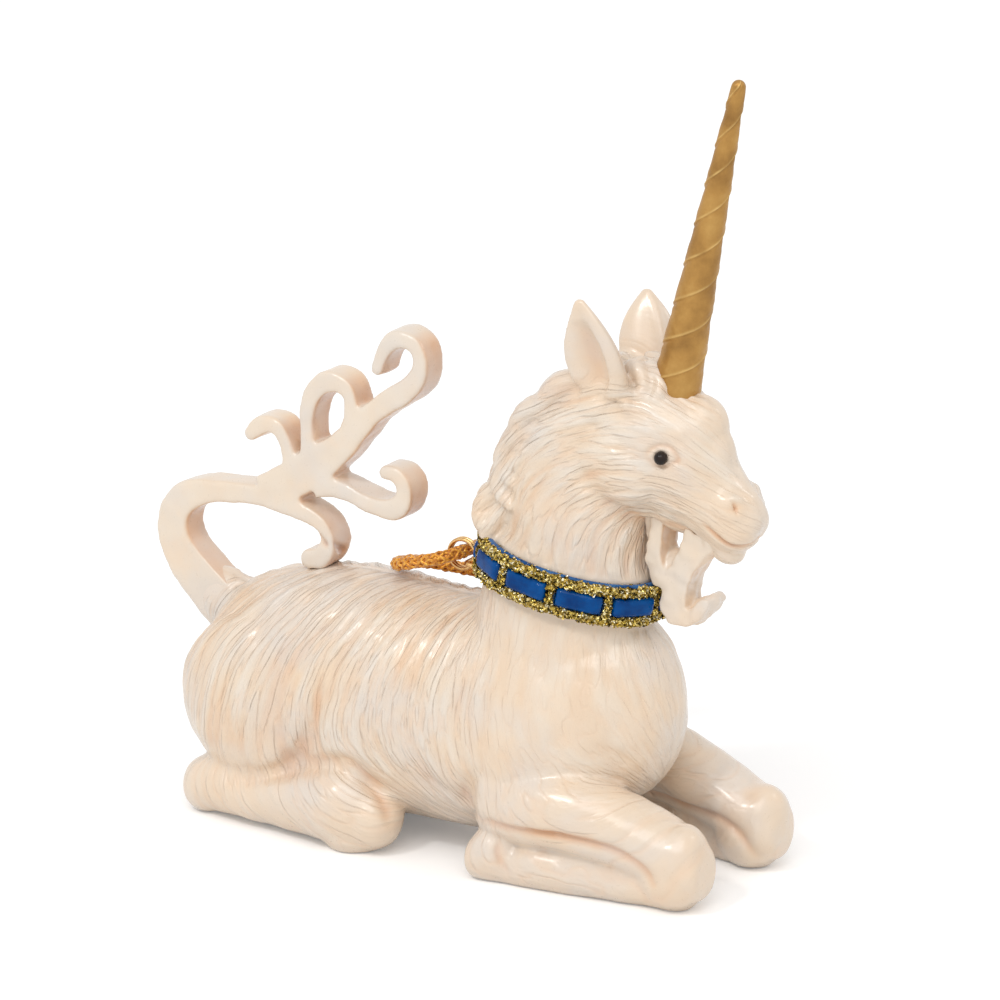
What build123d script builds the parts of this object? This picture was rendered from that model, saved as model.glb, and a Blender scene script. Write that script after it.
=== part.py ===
from build123d import *
import math
import os

# A couchant unicorn, cast in resin as a hanging ornament, with a gilt horn, a scroll tail, a jewelled collar
# and a cord loop. It looks along +X with its feet on the plane z = 0, and its right side faces -Y.
# Sizes are in millimetres.

# Body: each row of shares is (along the body, lowest and highest of the height, half width of the width).
body_length = 69.4
body_height = 34.1
body_width = 28.0
rump_reach = 36.75
torso_shares = [
    (0.003, 0.290, 0.500, 0.090),
    (0.021, 0.190, 0.640, 0.220),
    (0.056, 0.117, 0.780, 0.336),
    (0.111, 0.065, 0.886, 0.430),
    (0.194, 0.047, 0.950, 0.486),
    (0.292, 0.053, 0.988, 0.500),
    (0.403, 0.065, 0.997, 0.493),
    (0.514, 0.073, 0.979, 0.479),
    (0.625, 0.076, 0.985, 0.471),
    (0.736, 0.100, 1.030, 0.464),
    (0.847, 0.164, 1.035, 0.429),
    (0.924, 0.279, 0.982, 0.343),
    (0.960, 0.410, 0.900, 0.232),
    (0.982, 0.545, 0.800, 0.100),
]

# Haunch and shoulder swellings: centre along, height and spread, then half sizes, as shares of the body.
haunch_centre_shares = (0.200, 0.490, 0.250)
haunch_half_shares = (0.190, 0.345, 0.262)
shoulder_centre_shares = (0.765, 0.560, 0.215)
shoulder_half_shares = (0.150, 0.400, 0.262)

# Legs: rows of (along, outward from the middle, height, half thickness) as shares of the leg's length.
foreleg_length = 32.0
foreleg_set_back = 22.05
foreleg_root = body_length - rump_reach - foreleg_set_back
foreleg_spread_share = 0.275
forearm_shares = [
    (-0.010, 0.060, 0.290, 0.050),
    (0.030, 0.060, 0.295, 0.100),
    (0.120, 0.062, 0.310, 0.140),
    (0.270, 0.062, 0.332, 0.165),
    (0.450, 0.055, 0.332, 0.162),
    (0.620, 0.035, 0.290, 0.152),
    (0.770, 0.012, 0.238, 0.148),
    (0.880, 0.000, 0.190, 0.140),
    (0.950, 0.000, 0.165, 0.120),
    (0.985, 0.000, 0.150, 0.080),
]
knee_shares = (0.840, 0.000, 0.138, 0.146)
cannon_shares = [
    (0.940, 0.000, 0.075, 0.050),
    (0.860, 0.008, 0.080, 0.092),
    (0.720, 0.025, 0.084, 0.095),
    (0.560, 0.045, 0.086, 0.098),
    (0.420, 0.062, 0.086, 0.098),
    (0.310, 0.075, 0.084, 0.096),
    (0.235, 0.083, 0.080, 0.092),
    (0.165, 0.090, 0.074, 0.084),
    (0.090, 0.098, 0.080, 0.093),
    (0.020, 0.104, 0.084, 0.094),
    (-0.010, 0.106, 0.084, 0.070),
]
far_foreleg_lead = 1.6
far_foreleg_outset = 2.3

hindleg_length = 33.0
hindleg_set_in = 1.85
hindleg_root = hindleg_set_in - rump_reach
hindleg_spread_share = 0.336
shank_shares = [
    (0.020, -0.010, 0.115, 0.060),
    (0.090, -0.010, 0.122, 0.108),
    (0.200, -0.004, 0.130, 0.124),
    (0.350, 0.010, 0.140, 0.128),
    (0.510, 0.022, 0.152, 0.138),
    (0.660, 0.032, 0.166, 0.156),
    (0.790, 0.035, 0.172, 0.164),
    (0.890, 0.032, 0.155, 0.142),
    (0.955, 0.028, 0.135, 0.095),
    (0.985, 0.028, 0.125, 0.045),
]
hock_shares = (0.110, -0.010, 0.104, 0.112)
hoof_shares = (0.820, 0.030, 0.095, 0.140)

# Neck: the castings part on a tilted plane that the collar hides.
collar_set_back = 14.2
collar_rise = 4.7
collar_x = body_length - rump_reach - collar_set_back
collar_z = body_height + collar_rise
collar_tilt_deg = 10.0
neck_half_long = 11.2
neck_half_wide = 9.2
seat_height = 6.0
neck_height = 28.2
# Rows are (forward and up from the joint as shares of the neck's height, half length and half width as
# shares of the neck there, lean of the section in degrees).
stump_shares = [(-0.065, -0.490, 1.120, 1.240), (-0.040, -0.280, 1.060, 1.120)]
neck_shares = [
    (0.032, 0.165, 0.880, 0.910, 8.0),
    (0.041, 0.356, 0.870, 0.850, 0.0),
    (0.058, 0.557, 0.820, 0.780, -6.0),
    (0.091, 0.751, 0.700, 0.700, -12.0),
    (0.135, 0.913, 0.460, 0.540, -16.0),
    (0.162, 1.000, 0.195, 0.280, -18.0),
]

# Head: rows along the face are (along, lowest and highest of the depth, half width of the width).
head_forward = 11.2
head_rise = 18.2
head_x = collar_x + head_forward
head_z = collar_z + head_rise
head_pitch_deg = 26.0
head_length = 26.8
head_depth = 19.0
head_width = 13.0
head_shares = [
    (-0.350, -0.100, 0.250, 0.180),
    (-0.300, -0.260, 0.380, 0.340),
    (-0.200, -0.400, 0.450, 0.450),
    (-0.070, -0.470, 0.490, 0.500),
    (0.080, -0.430, 0.480, 0.490),
    (0.143, -0.400, 0.452, 0.466),
    (0.220, -0.360, 0.410, 0.435),
    (0.320, -0.335, 0.290, 0.380),
    (0.430, -0.345, 0.185, 0.320),
    (0.540, -0.350, 0.125, 0.285),
    (0.615, -0.290, 0.065, 0.235),
    (0.660, -0.180, -0.020, 0.110),
]
chin_shares = (0.552, -0.315, 0.088, 0.095, 0.170)
eye_station = 5
eye_radius = 0.85
eye_up_share = 0.112
eye_fit = 0.03

# Ears: rows are (share of the height, half width, half thickness of the ear's width).
ear_height = 14.0
ear_width = 7.7
ear_root_from_head = (-3.05, 4.3, 6.8)
ear_tip_from_root = (-3.2, 3.4, 12.4)
far_ear_lead = 0.9
far_ear_drop = 1.8
ear_shares = [
    (0.00, 0.300, 0.200),
    (0.22, 0.440, 0.220),
    (0.48, 0.480, 0.190),
    (0.72, 0.360, 0.140),
    (0.90, 0.180, 0.090),
    (1.00, 0.060, 0.040),
]
ear_turn_deg = 20.0
ear_hollow_shares = (0.44, 0.300, 0.330, 0.170)

# Horn: a cone with a rounded tip, held by a wire pin.
horn_root_from_head = (2.75, 5.5)
horn_tip_from_root = (8.6, 41.3)
horn_base_radius = 3.15
horn_tip_radius = 0.85
horn_pin_radius = 0.6
horn_pin_length = 11.0
horn_pin_share = 0.19

# Tail: a flat scroll cut in the upright middle plane. Rows are (along, up, width) as shares of its height.
tail_height = 41.5
tail_thickness = 4.5
tail_set_in = 3.17
tail_drop = 8.1
tail_x = tail_set_in - rump_reach
tail_z = body_height - tail_drop
tail_root_shares = [
    (0.060, -0.070, 0.165),
    (0.000, -0.020, 0.163),
    (-0.070, 0.040, 0.152),
    (-0.135, 0.105, 0.140),
    (-0.188, 0.190, 0.122),
    (-0.183, 0.280, 0.107),
    (-0.115, 0.345, 0.092),
    (0.000, 0.370, 0.072),
    (0.120, 0.378, 0.063),
    (0.240, 0.362, 0.061),
    (0.350, 0.330, 0.055),
    (0.394, 0.272, 0.055),
    (0.370, 0.215, 0.066),
    (0.325, 0.200, 0.064),
]
tail_stem_shares = [
    (0.150, 0.395, 0.094),
    (0.295, 0.468, 0.121),
    (0.405, 0.550, 0.106),
    (0.492, 0.632, 0.083),
    (0.590, 0.733, 0.070),
    (0.690, 0.802, 0.073),
    (0.737, 0.877, 0.056),
    (0.714, 0.946, 0.050),
    (0.652, 0.956, 0.058),
    (0.602, 0.906, 0.048),
    (0.583, 0.853, 0.042),
]
tail_middle_shares = [
    (0.318, 0.480, 0.052),
    (0.322, 0.620, 0.052),
    (0.340, 0.732, 0.062),
    (0.405, 0.787, 0.070),
    (0.474, 0.764, 0.052),
    (0.486, 0.704, 0.047),
    (0.472, 0.655, 0.045),
]
tail_left_shares = [
    (0.250, 0.430, 0.052),
    (0.243, 0.559, 0.049),
    (0.202, 0.614, 0.051),
    (0.140, 0.604, 0.062),
    (0.111, 0.578, 0.048),
]
tail_right_shares = [
    (0.349, 0.439, 0.070),
    (0.458, 0.441, 0.060),
    (0.554, 0.414, 0.054),
    (0.643, 0.414, 0.072),
    (0.680, 0.472, 0.057),
    (0.651, 0.520, 0.052),
    (0.610, 0.525, 0.047),
]
tail_pin_radius = 0.7
tail_pin_from_shares = (0.060, -0.100)
tail_pin_to_shares = (-0.150, 0.110)

# Beard: two scrolled locks under the chin, in the middle plane, as shares of the beard's height.
beard_height = 12.5
beard_thickness = 4.6
beard_gap = 0.35
beard_from_head = (3.35, -21.4)
beard_x = head_x + beard_from_head[0]
beard_z = head_z + beard_from_head[1]
beard_back_shares = [
    (-0.128, 1.150, 0.170),
    (-0.136, 0.830, 0.155),
    (-0.144, 0.510, 0.190),
    (-0.010, 0.230, 0.220),
    (0.070, 0.056, 0.240),
    (0.208, 0.024, 0.190),
    (0.352, 0.112, 0.145),
    (0.424, 0.200, 0.120),
]
beard_front_shares = [
    (0.360, 0.950, 0.360),
    (0.272, 0.720, 0.280),
    (0.144, 0.480, 0.250),
    (0.072, 0.320, 0.300),
    (0.060, 0.190, 0.300),
]

# Collar: an enamelled band that follows the neck and rises a little at each side.
band_thickness = 1.15
band_height = 4.8
band_fit = 0.05
band_rise = 0.6
rim_height = 0.95
rim_proud = 0.4
stone_count = 10
stone_width = 6.1
stone_rim_gap = 0.15
stone_thickness = 1.1
stone_sunk = 0.6
stone_corner = 0.7
stone_fit = 0.04
stone_phase_share = 0.63
divider_width = 0.8
divider_proud = 0.35
oval_steps = 720

# Staple and split ring in the nape.
staple_wire = 0.6
staple_half_width = 0.86
staple_corner = 0.6
staple_embed = 4.0
staple_below_band = 1.63
staple_behind_band = 2.44
ring_wire = 0.5
ring_mean_radius = 1.9
ring_turns = 2
ring_gap = 0.06
ring_play = 0.05
ring_rest_deg = 40.0

# Neck dowel.
dowel_radius = 2.5
dowel_length = 12.0
pin_fit = 0.02

# Hanging cord: hand-chosen points of its middle line, each strand from the ring to the knot on the ground.
cord_radius = 0.9
cord_arc_share = 0.45
cord_left_points = [
    (0.75, -2.75, 38.15),
    (-3.60, -3.00, 36.90),
    (-6.80, -1.90, 35.80),
    (-8.00, 0.90, 35.20),
    (-6.80, 3.60, 34.90),
    (-3.20, 5.60, 34.20),
    (1.60, 8.60, 33.00),
    (5.20, 12.80, 29.40),
    (6.60, 15.90, 22.80),
    (6.40, 17.00, 14.60),
    (4.20, 18.20, 7.20),
    (-0.60, 20.20, 2.30),
    (-7.40, 21.60, 1.00),
]
cord_right_points = [
    (3.15, 2.75, 38.75),
    (4.90, 6.60, 39.60),
    (7.00, 10.80, 38.40),
    (8.90, 14.20, 34.20),
    (10.00, 16.70, 27.20),
    (9.60, 18.10, 18.60),
    (8.20, 19.80, 10.20),
    (4.60, 22.40, 4.20),
    (-1.20, 24.60, 1.30),
    (-7.60, 25.20, 1.00),
]
# Knot that closes the loop, and where the two strands end in it.
knot_radius = 2.3
knot_x = -15.2
knot_y = 23.6
knot_rest = 0.05
knot_spread = 1.0
knot_entry_height = 1.5
knot_depth = 1.0

# Cuts run this far past what they cut.
overrun = 20.0

joint_centre = Vector(collar_x, 0, collar_z)


def share_point(shares, length, root, side, spread):
    """The place and half thickness that a leg's row of shares stands for."""
    along, outward, up, half = shares
    y = side * (spread + outward * length)
    return Vector(root + along * length, y, up * length), half * length


def oval(centre, normal, half_up, half_across):
    """An oval wire across a body: half_across lies along Y."""
    return Plane(origin=centre, x_dir=(0, 1, 0), z_dir=normal) * Ellipse(half_across, half_up)


def ball(centre, half_x, half_y, half_z, lean_deg=0.0):
    """An ellipsoid that leans about Y."""
    unit = scale(Sphere(1), by=(half_x, half_y, half_z))
    return Pos(*centre) * Rot(0, lean_deg, 0) * unit


def ribbon(rows, size, x0, z0):
    """A flat scroll strip in the XZ plane, of varying width, with a round far end."""
    points = [Vector(x0 + a * size, 0, z0 + b * size) for a, b, _ in rows]
    halves = [w * size / 2 for _, _, w in rows]
    left = []
    right = []
    for i, point in enumerate(points):
        way = (points[min(i + 1, len(points) - 1)] - points[max(i - 1, 0)]).normalized()
        side = Vector(-way.Z, 0, way.X)
        left.append(point + side * halves[i])
        right.append(point - side * halves[i])
    edges = [Spline(*left), Line(left[-1], right[-1]), Spline(*reversed(right)), Line(right[0], left[0])]
    strip = make_face(Wire(edges))
    tip = Plane(origin=points[-1], z_dir=(0, 1, 0)) * Circle(halves[-1])
    return strip, tip


def scroll(strips, size, x0, z0, thickness):
    """Scroll strips joined in one plane and thickened both ways."""
    solid = None
    for rows in strips:
        for face in ribbon(rows, size, x0, z0):
            slab = extrude(face, amount=thickness / 2, dir=(0, 1, 0), both=True)
            solid = slab if solid is None else solid + slab
    return solid


def seat_plane(offset):
    """A plane along the collar, at a distance above the joint of the two castings."""
    tilt = math.radians(collar_tilt_deg)
    normal = Vector(math.sin(tilt), 0, math.cos(tilt))
    forward = Vector(math.cos(tilt), 0, -math.sin(tilt))
    return Plane(origin=joint_centre + normal * offset, x_dir=forward, z_dir=normal)


def seat_oval(offset):
    """The neck's own oval in the collar's seat."""
    return seat_plane(offset) * Ellipse(neck_half_long, neck_half_wide)


def neck_ovals(rows):
    """Neck sections from shares of the neck, leaning about Y; a row without a lean follows the collar."""
    sections = []
    for forward, up, long_share, wide_share, *lean in rows:
        tilt = math.radians(lean[0] if lean else collar_tilt_deg)
        centre = joint_centre + Vector(forward * neck_height, 0, up * neck_height)
        upward = Vector(math.sin(tilt), 0, math.cos(tilt))
        plane = Plane(origin=centre, x_dir=(math.cos(tilt), 0, -math.sin(tilt)), z_dir=upward)
        sections.append(plane * Ellipse(neck_half_long * long_share, neck_half_wide * wide_share))
    return sections


def pin(start, end, radius):
    """A round pin between two points."""
    way = end - start
    standing = (Align.CENTER, Align.CENTER, Align.MIN)
    return Plane(origin=start, z_dir=way) * Cylinder(radius, way.length, align=standing)


def torso():
    """The trunk, through upright ovals from rump to chest."""
    sections = []
    for along, low, high, half in torso_shares:
        centre = (along * body_length - rump_reach, 0, (low + high) / 2 * body_height)
        sections.append(oval(centre, (1, 0, 0), (high - low) / 2 * body_height, half * body_width))
    return loft(sections)


def swelling(centre_shares, half_shares, side):
    """A haunch or shoulder that swells from the trunk's side."""
    along, up, out = centre_shares
    centre = (along * body_length - rump_reach, side * out * body_width, up * body_height)
    half_along, half_up, half_out = half_shares
    return ball(centre, half_along * body_length, half_out * body_width, half_up * body_height)


def leg(rows, length, root, side, spread):
    """One stretch of a leg from its table of shares."""
    places = [share_point(row, length, root, side, spread) for row in rows]
    return loft([oval(point, (1, 0, 0), half, half) for point, half in places])


def joint_ball(shares, length, root, side, spread):
    """The round mass of a knee, hock or hoof."""
    point, half = share_point(shares, length, root, side, spread)
    return Pos(*point) * Sphere(half)


def foreleg(side, lead, outset):
    """A folded foreleg: the forearm, the knee, and the cannon tucked back under it to the hoof."""
    place = (foreleg_length, foreleg_root + lead, side, foreleg_spread_share * body_width + outset)
    return leg(forearm_shares, *place) + joint_ball(knee_shares, *place) + leg(cannon_shares, *place)


def hindleg(side):
    """A folded hind leg: the shank along the ground from the hock to the stifle and hoof."""
    place = (hindleg_length, hindleg_root, side, hindleg_spread_share * body_width)
    return leg(shank_shares, *place) + joint_ball(hock_shares, *place) + joint_ball(hoof_shares, *place)


def head():
    """The skull and muzzle, through ovals square to the face, with the chin."""
    pitch = math.radians(head_pitch_deg)
    face = Vector(math.cos(pitch), 0, -math.sin(pitch))
    crown = Vector(math.sin(pitch), 0, math.cos(pitch))
    origin = Vector(head_x, 0, head_z)
    sections = []
    for along, low, high, half in head_shares:
        centre = origin + face * (along * head_length) + crown * ((low + high) / 2 * head_depth)
        sections.append(oval(centre, face, (high - low) / 2 * head_depth, half * head_width))
    along, up, half_along, half_up, half_wide = chin_shares
    centre = origin + face * (along * head_length) + crown * (up * head_depth)
    halves = (half_along * head_length, half_wide * head_width, half_up * head_depth)
    return loft(sections) + ball(centre, *halves, head_pitch_deg)


def eye_centre(side):
    """The middle of an eye: on the skull's own oval at the eye's station, nearly half sunk."""
    pitch = math.radians(head_pitch_deg)
    along, low, high, half = head_shares[eye_station]
    up = eye_up_share * head_depth
    middle = (low + high) / 2 * head_depth
    reach = (high - low) / 2 * head_depth
    out = half * head_width * math.sqrt(1 - ((up - middle) / reach) ** 2)
    x = head_x + math.cos(pitch) * along * head_length + math.sin(pitch) * up
    z = head_z - math.sin(pitch) * along * head_length + math.cos(pitch) * up
    return Vector(x, side * out, z)


def ear(side):
    """A leaf-shaped ear, hollowed on its outer face."""
    x, y, z = ear_root_from_head
    root = Vector(head_x + x, side * y, head_z + z)
    x, y, z = ear_tip_from_root
    far = (1 + side) / 2
    tip = root + Vector(x + far * far_ear_lead, side * y, z - far * far_ear_drop)
    way = (tip - root).normalized()
    across = Vector(math.cos(math.radians(ear_turn_deg)), side * math.sin(math.radians(ear_turn_deg)), 0)
    across = (across - way * across.dot(way)).normalized()
    sections = []
    for up, half_across, half_thick in ear_shares:
        plane = Plane(origin=root + (tip - root) * up, x_dir=across, z_dir=way)
        sections.append(plane * Ellipse(half_across * ear_width, half_thick * ear_width))
    up, half_across, half_up, depth = ear_hollow_shares
    out = across.cross(way) * (1 if across.cross(way).Y * side > 0 else -1)
    centre = root + (tip - root) * up + out * (ear_shares[2][2] * ear_width)
    scoop = scale(Sphere(1), by=(half_across * ear_width, depth * ear_width, half_up * ear_height))
    scoop = Plane(origin=centre, x_dir=across, z_dir=way) * scoop
    return loft(sections) - scoop


def horn_cone():
    """The horn as a cone with a rounded tip, standing on its axis."""
    x, z = horn_root_from_head
    root = Vector(head_x + x, 0, head_z + z)
    x, z = horn_tip_from_root
    tip = root + Vector(x, 0, z)
    way = (tip - root).normalized()
    height = (tip - root).length - horn_tip_radius
    cone = Cone(horn_base_radius, horn_tip_radius, height, align=(Align.CENTER, Align.CENTER, Align.MIN))
    return Plane(origin=root, z_dir=way) * (cone + Pos(0, 0, height) * Sphere(horn_tip_radius)), root, way


def saddle_reach():
    """Half the width over which the collar rises, just past its widest piece."""
    return neck_half_wide + band_fit + band_thickness + rim_proud + pin_fit


def band_slab(low, high):
    """The collar's cross slab between two heights: it rises towards each side of the neck."""
    reach = saddle_reach()
    under = ThreePointArc((-reach, low + band_rise), (0, low), (reach, low + band_rise))
    over = ThreePointArc((-reach, high + band_rise), (0, high), (reach, high + band_rise))
    ends = [Line((side * reach, low + band_rise), (side * reach, high + band_rise)) for side in (-1, 1)]
    profile = make_face(Wire([under, over, *ends]))
    return extrude(Plane.YZ * profile, amount=neck_half_long + overrun, both=True)


def band_ring(low, high, proud):
    """A ring round the neck between two heights, standing proud of the enamelled band."""
    wall = band_thickness + proud
    outer = Ellipse(neck_half_long + band_fit + wall, neck_half_wide + band_fit + wall)
    inner = Ellipse(neck_half_long + band_fit, neck_half_wide + band_fit)
    tube = extrude(outer - inner, amount=overrun, both=True)
    return seat_plane(0) * (tube & band_slab(low, high))


def stone_angles():
    """Angles at equal distances round the band, for the stones and the dividers between them."""
    long = neck_half_long + band_fit + band_thickness
    wide = neck_half_wide + band_fit + band_thickness
    lengths = [0.0]
    for i in range(oval_steps):
        angle = 2 * math.pi * (i + 0.5) / oval_steps
        step = math.hypot(long * math.sin(angle), wide * math.cos(angle)) * 2 * math.pi / oval_steps
        lengths.append(lengths[-1] + step)
    places = []
    for k in range(2 * stone_count):
        wanted = ((k / 2 - stone_phase_share) % stone_count) * lengths[-1] / stone_count
        i = max(n for n in range(oval_steps + 1) if lengths[n] <= wanted)
        places.append(2 * math.pi * i / oval_steps)
    return places[0::2], places[1::2]


def band_place(angle):
    """A plane on the band's outer face: its X runs along the band and its Z points outwards."""
    long = neck_half_long + band_fit + band_thickness
    wide = neck_half_wide + band_fit + band_thickness
    reach = saddle_reach()
    y = wide * math.sin(angle)
    origin = Vector(long * math.cos(angle), y, band_rise * (y / reach) ** 2)
    outward = Vector(math.cos(angle) / long, math.sin(angle) / wide, 0).normalized()
    slope = 2 * band_rise * y / reach**2 * wide * math.cos(angle)
    along = Vector(-long * math.sin(angle), wide * math.cos(angle), slope).normalized()
    return seat_plane(0).location * Plane(origin=origin, x_dir=along, z_dir=outward).location


def staple_path():
    """The staple's wire from one buried end round the bow to the other, and the middle of the bow."""
    behind = neck_half_long + band_fit + band_thickness + staple_behind_band
    below = -(band_height / 2 + staple_below_band)
    half = staple_half_width + staple_wire / 2
    end = staple_behind_band + band_thickness + staple_embed
    corners = [(end - behind, -half), (-behind, -half), (-behind, half), (end - behind, half)]
    points = [seat_plane(0).from_local_coords(Vector(x, y, below)) for x, y in corners]
    return points, (points[1] + points[2]) / 2


def wire_along(points, radius, corner):
    """A round wire along straight runs with rounded corners."""
    path = FilletPolyline(*points, radius=corner)
    return sweep(Plane(origin=path @ 0, z_dir=path % 0) * Circle(radius), path=path)


def split_ring(pivot):
    """A ring of two turns of wire, hanging on the staple's bow, and its middle."""
    reach = ring_mean_radius - ring_wire / 2 - staple_wire / 2 - ring_play
    rest = math.radians(ring_rest_deg)
    middle = pivot + Vector(-math.cos(rest), 0, math.sin(rest)) * reach
    pitch = ring_wire + ring_gap
    height = ring_turns * pitch
    foot = (0, 0, -height / 2)
    coil = Helix(pitch=pitch, height=height, radius=ring_mean_radius, center=foot, direction=(0, 0, 1))
    wire = sweep(Plane(origin=coil @ 0, z_dir=coil % 0) * Circle(ring_wire / 2), path=coil)
    return Pos(*middle) * Rot(90, 0, 0) * wire, middle


def cord_tube(points, radii, name):
    """A stretch of the cord: straight runs joined by tangent arcs. It prints its length and volume."""
    path = FilletPolyline(*points, radius=radii)
    tube = sweep(Plane(origin=path @ 0, z_dir=path % 0) * Circle(cord_radius), path=path)
    ratio = tube.volume / (math.pi * cord_radius**2 * path.length)
    print(name, "length", round(path.length, 2), "volume against section times length", round(ratio, 4))
    return tube


def hanging_cord():
    """The cord's three stretches, the knot that closes its loop, and the stretches' names."""
    knot = Pos(knot_x, knot_y, knot_rest + knot_radius) * Sphere(knot_radius)
    drop = knot_rest + knot_radius - knot_entry_height
    end_x = knot_x + math.sqrt(knot_radius**2 - knot_spread**2 - drop**2) - knot_depth
    ends = [Vector(end_x, knot_y + side * knot_spread, knot_entry_height) for side in (-1, 1)]
    left = [Vector(*p) for p in cord_left_points] + [ends[0]]
    right = [Vector(*p) for p in cord_right_points] + [ends[1]]
    route = [*reversed(left), *right]
    radii = []
    for before, corner, after in zip(route, route[1:], route[2:]):
        turn = math.radians((corner - before).get_angle(after - corner))
        run = min((corner - before).length, (after - corner).length)
        radii.append(cord_arc_share * run / math.tan(turn / 2))
    print("cord radii", [round(radius, 1) for radius in radii])
    count = len(left)
    left_cut = (left[0] + left[1]) / 2
    right_cut = (right[0] + right[1]) / 2
    pieces = {
        "hanging_cord_left": cord_tube([*route[: count - 1], left_cut], radii[: count - 2], "left"),
        "hanging_cord_right": cord_tube([right_cut, *right[1:]], radii[count:], "right"),
    }
    eyelet = [left_cut, left[0], right[0], right_cut]
    pieces["hanging_cord_eyelet"] = cord_tube(eyelet, radii[count - 2 : count], "eyelet")
    for strand in (left, right):
        run = strand[-2] - strand[-1]
        slack = run.normalized() * pin_fit
        knot -= pin(strand[-1] - slack, strand[-2], cord_radius + pin_fit)
    pieces["cord_knot"] = knot
    return pieces


def build():
    """Every piece, by the name of its node."""
    seat = seat_plane(0)
    lower_seat = seat_plane(-seat_height / 2)
    upper_seat = seat_plane(seat_height / 2)
    stump = loft([*neck_ovals(stump_shares), seat_oval(-seat_height / 2)])
    stump += extrude(seat_oval(-seat_height / 2), amount=seat_height / 2, dir=seat.z_dir)
    dowel_hole = seat * Cylinder(dowel_radius + pin_fit, dowel_length + 2 * pin_fit)

    body = torso()
    for side in (-1, 1):
        body += swelling(haunch_centre_shares, haunch_half_shares, side)
        body += swelling(shoulder_centre_shares, shoulder_half_shares, side)
        far = (1 + side) / 2
        body += foreleg(side, far * far_foreleg_lead, far * far_foreleg_outset)
        body += hindleg(side)
    body += stump
    ground = Box(2 * body_length, 2 * body_length, overrun, align=(Align.CENTER, Align.CENTER, Align.MAX))
    collar_half = band_height / 2
    collar_room = band_ring(-collar_half - band_fit, collar_half, rim_proud + band_fit)
    field = collar_half - rim_height
    stone_proud = stone_thickness - stone_sunk + stone_width**2 / neck_half_wide / 8
    stone_room = band_ring(-field, field, stone_proud + band_fit)
    body = body - ground - dowel_hole - collar_room - stone_room

    skull = loft([seat_oval(seat_height / 2), *neck_ovals(neck_shares)])
    skull += extrude(seat_oval(0), amount=seat_height / 2, dir=seat.z_dir)
    skull += head()
    for side in (-1, 1):
        skull += ear(side)
    skull -= dowel_hole
    eyes = {}
    for side, name in ((-1, "eye_right"), (1, "eye_left")):
        socket = Pos(*eye_centre(side)) * Rot(90, 0, 0)
        eyes[name] = socket * Sphere(eye_radius)
        skull -= socket * Sphere(eye_radius + eye_fit)

    horn, horn_foot, horn_way = horn_cone()
    horn -= skull
    horn_pin_start = horn_foot - horn_way * (horn_pin_length * horn_pin_share)
    horn_pin = pin(horn_pin_start, horn_pin_start + horn_way * horn_pin_length, horn_pin_radius)
    horn_pin_end = horn_pin_start + horn_way * (horn_pin_length + pin_fit)
    horn_hole = pin(horn_pin_start - horn_way * pin_fit, horn_pin_end, horn_pin_radius + pin_fit)
    horn -= horn_hole
    skull -= horn_hole

    tail_strips = [tail_root_shares, tail_stem_shares, tail_middle_shares]
    tail_strips += [tail_left_shares, tail_right_shares]
    tail = scroll(tail_strips, tail_height, tail_x, tail_z, tail_thickness)
    tail -= body
    tail_ends = []
    for along, up in (tail_pin_from_shares, tail_pin_to_shares):
        tail_ends.append(Vector(tail_x + along * tail_height, 0, tail_z + up * tail_height))
    tail_way = (tail_ends[1] - tail_ends[0]).normalized()
    tail_pin = pin(tail_ends[0], tail_ends[1], tail_pin_radius)
    tail_slack = tail_way * pin_fit
    tail_hole = pin(tail_ends[0] - tail_slack, tail_ends[1] + tail_slack, tail_pin_radius + pin_fit)
    tail -= tail_hole
    body -= tail_hole

    beard = scroll([beard_back_shares, beard_front_shares], beard_height, beard_x, beard_z, beard_thickness)
    beard -= skull
    beard -= band_ring(-collar_half - beard_gap, collar_half + beard_gap, max(rim_proud, stone_proud) + beard_gap)

    stone_height = 2 * (field - stone_rim_gap)
    band = band_ring(-field, field, 0)
    rims = {
        "glitter_rim_upper": band_ring(field, field + rim_height, rim_proud),
        "glitter_rim_lower": band_ring(-field - rim_height, -field, rim_proud),
    }
    stone_turns, divider_turns = stone_angles()
    stones = {}
    for k, angle in enumerate(stone_turns):
        place = band_place(angle)
        lift = Pos(0, 0, stone_thickness / 2 - stone_sunk)
        outline = RectangleRounded(stone_width, stone_height, stone_corner)
        stone = extrude(outline, amount=stone_thickness / 2, both=True)
        pocket_size = (stone_width + 2 * stone_fit, stone_height + 2 * stone_fit, stone_corner + stone_fit)
        pocket = extrude(RectangleRounded(*pocket_size), amount=stone_thickness / 2 + stone_fit, both=True)
        stones[f"collar_stone_{k + 1:02d}"] = place * lift * stone
        band -= place * lift * pocket
    dividers = None
    for angle in divider_turns:
        post = band_place(angle) * Box(divider_width, stone_height, 2 * divider_proud)
        post -= band_ring(-band_height, band_height, 0)
        dividers = post if dividers is None else dividers + post

    staple_points, pivot = staple_path()
    staple = wire_along(staple_points, staple_wire / 2, staple_corner)
    staple_hole = wire_along(staple_points, staple_wire / 2 + pin_fit, staple_corner)
    body -= staple_hole
    ring, ring_middle = split_ring(pivot)
    print("staple bow and ring hinge", pivot)
    print("middle of the ring", ring_middle)

    pieces = {"body_casting": body, "head_casting": skull, "horn": horn, "tail": tail, "beard": beard}
    pieces["collar_band"] = band
    pieces["neck_dowel"] = seat * Cylinder(dowel_radius, dowel_length)
    pieces["horn_pin"] = horn_pin
    pieces["tail_pin"] = tail_pin
    pieces.update(eyes)
    pieces.update(rims)
    pieces.update(stones)
    pieces["glitter_dividers"] = dividers
    pieces["eye_staple"] = staple
    pieces["split_ring"] = ring
    pieces.update(hanging_cord())
    return pieces


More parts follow.
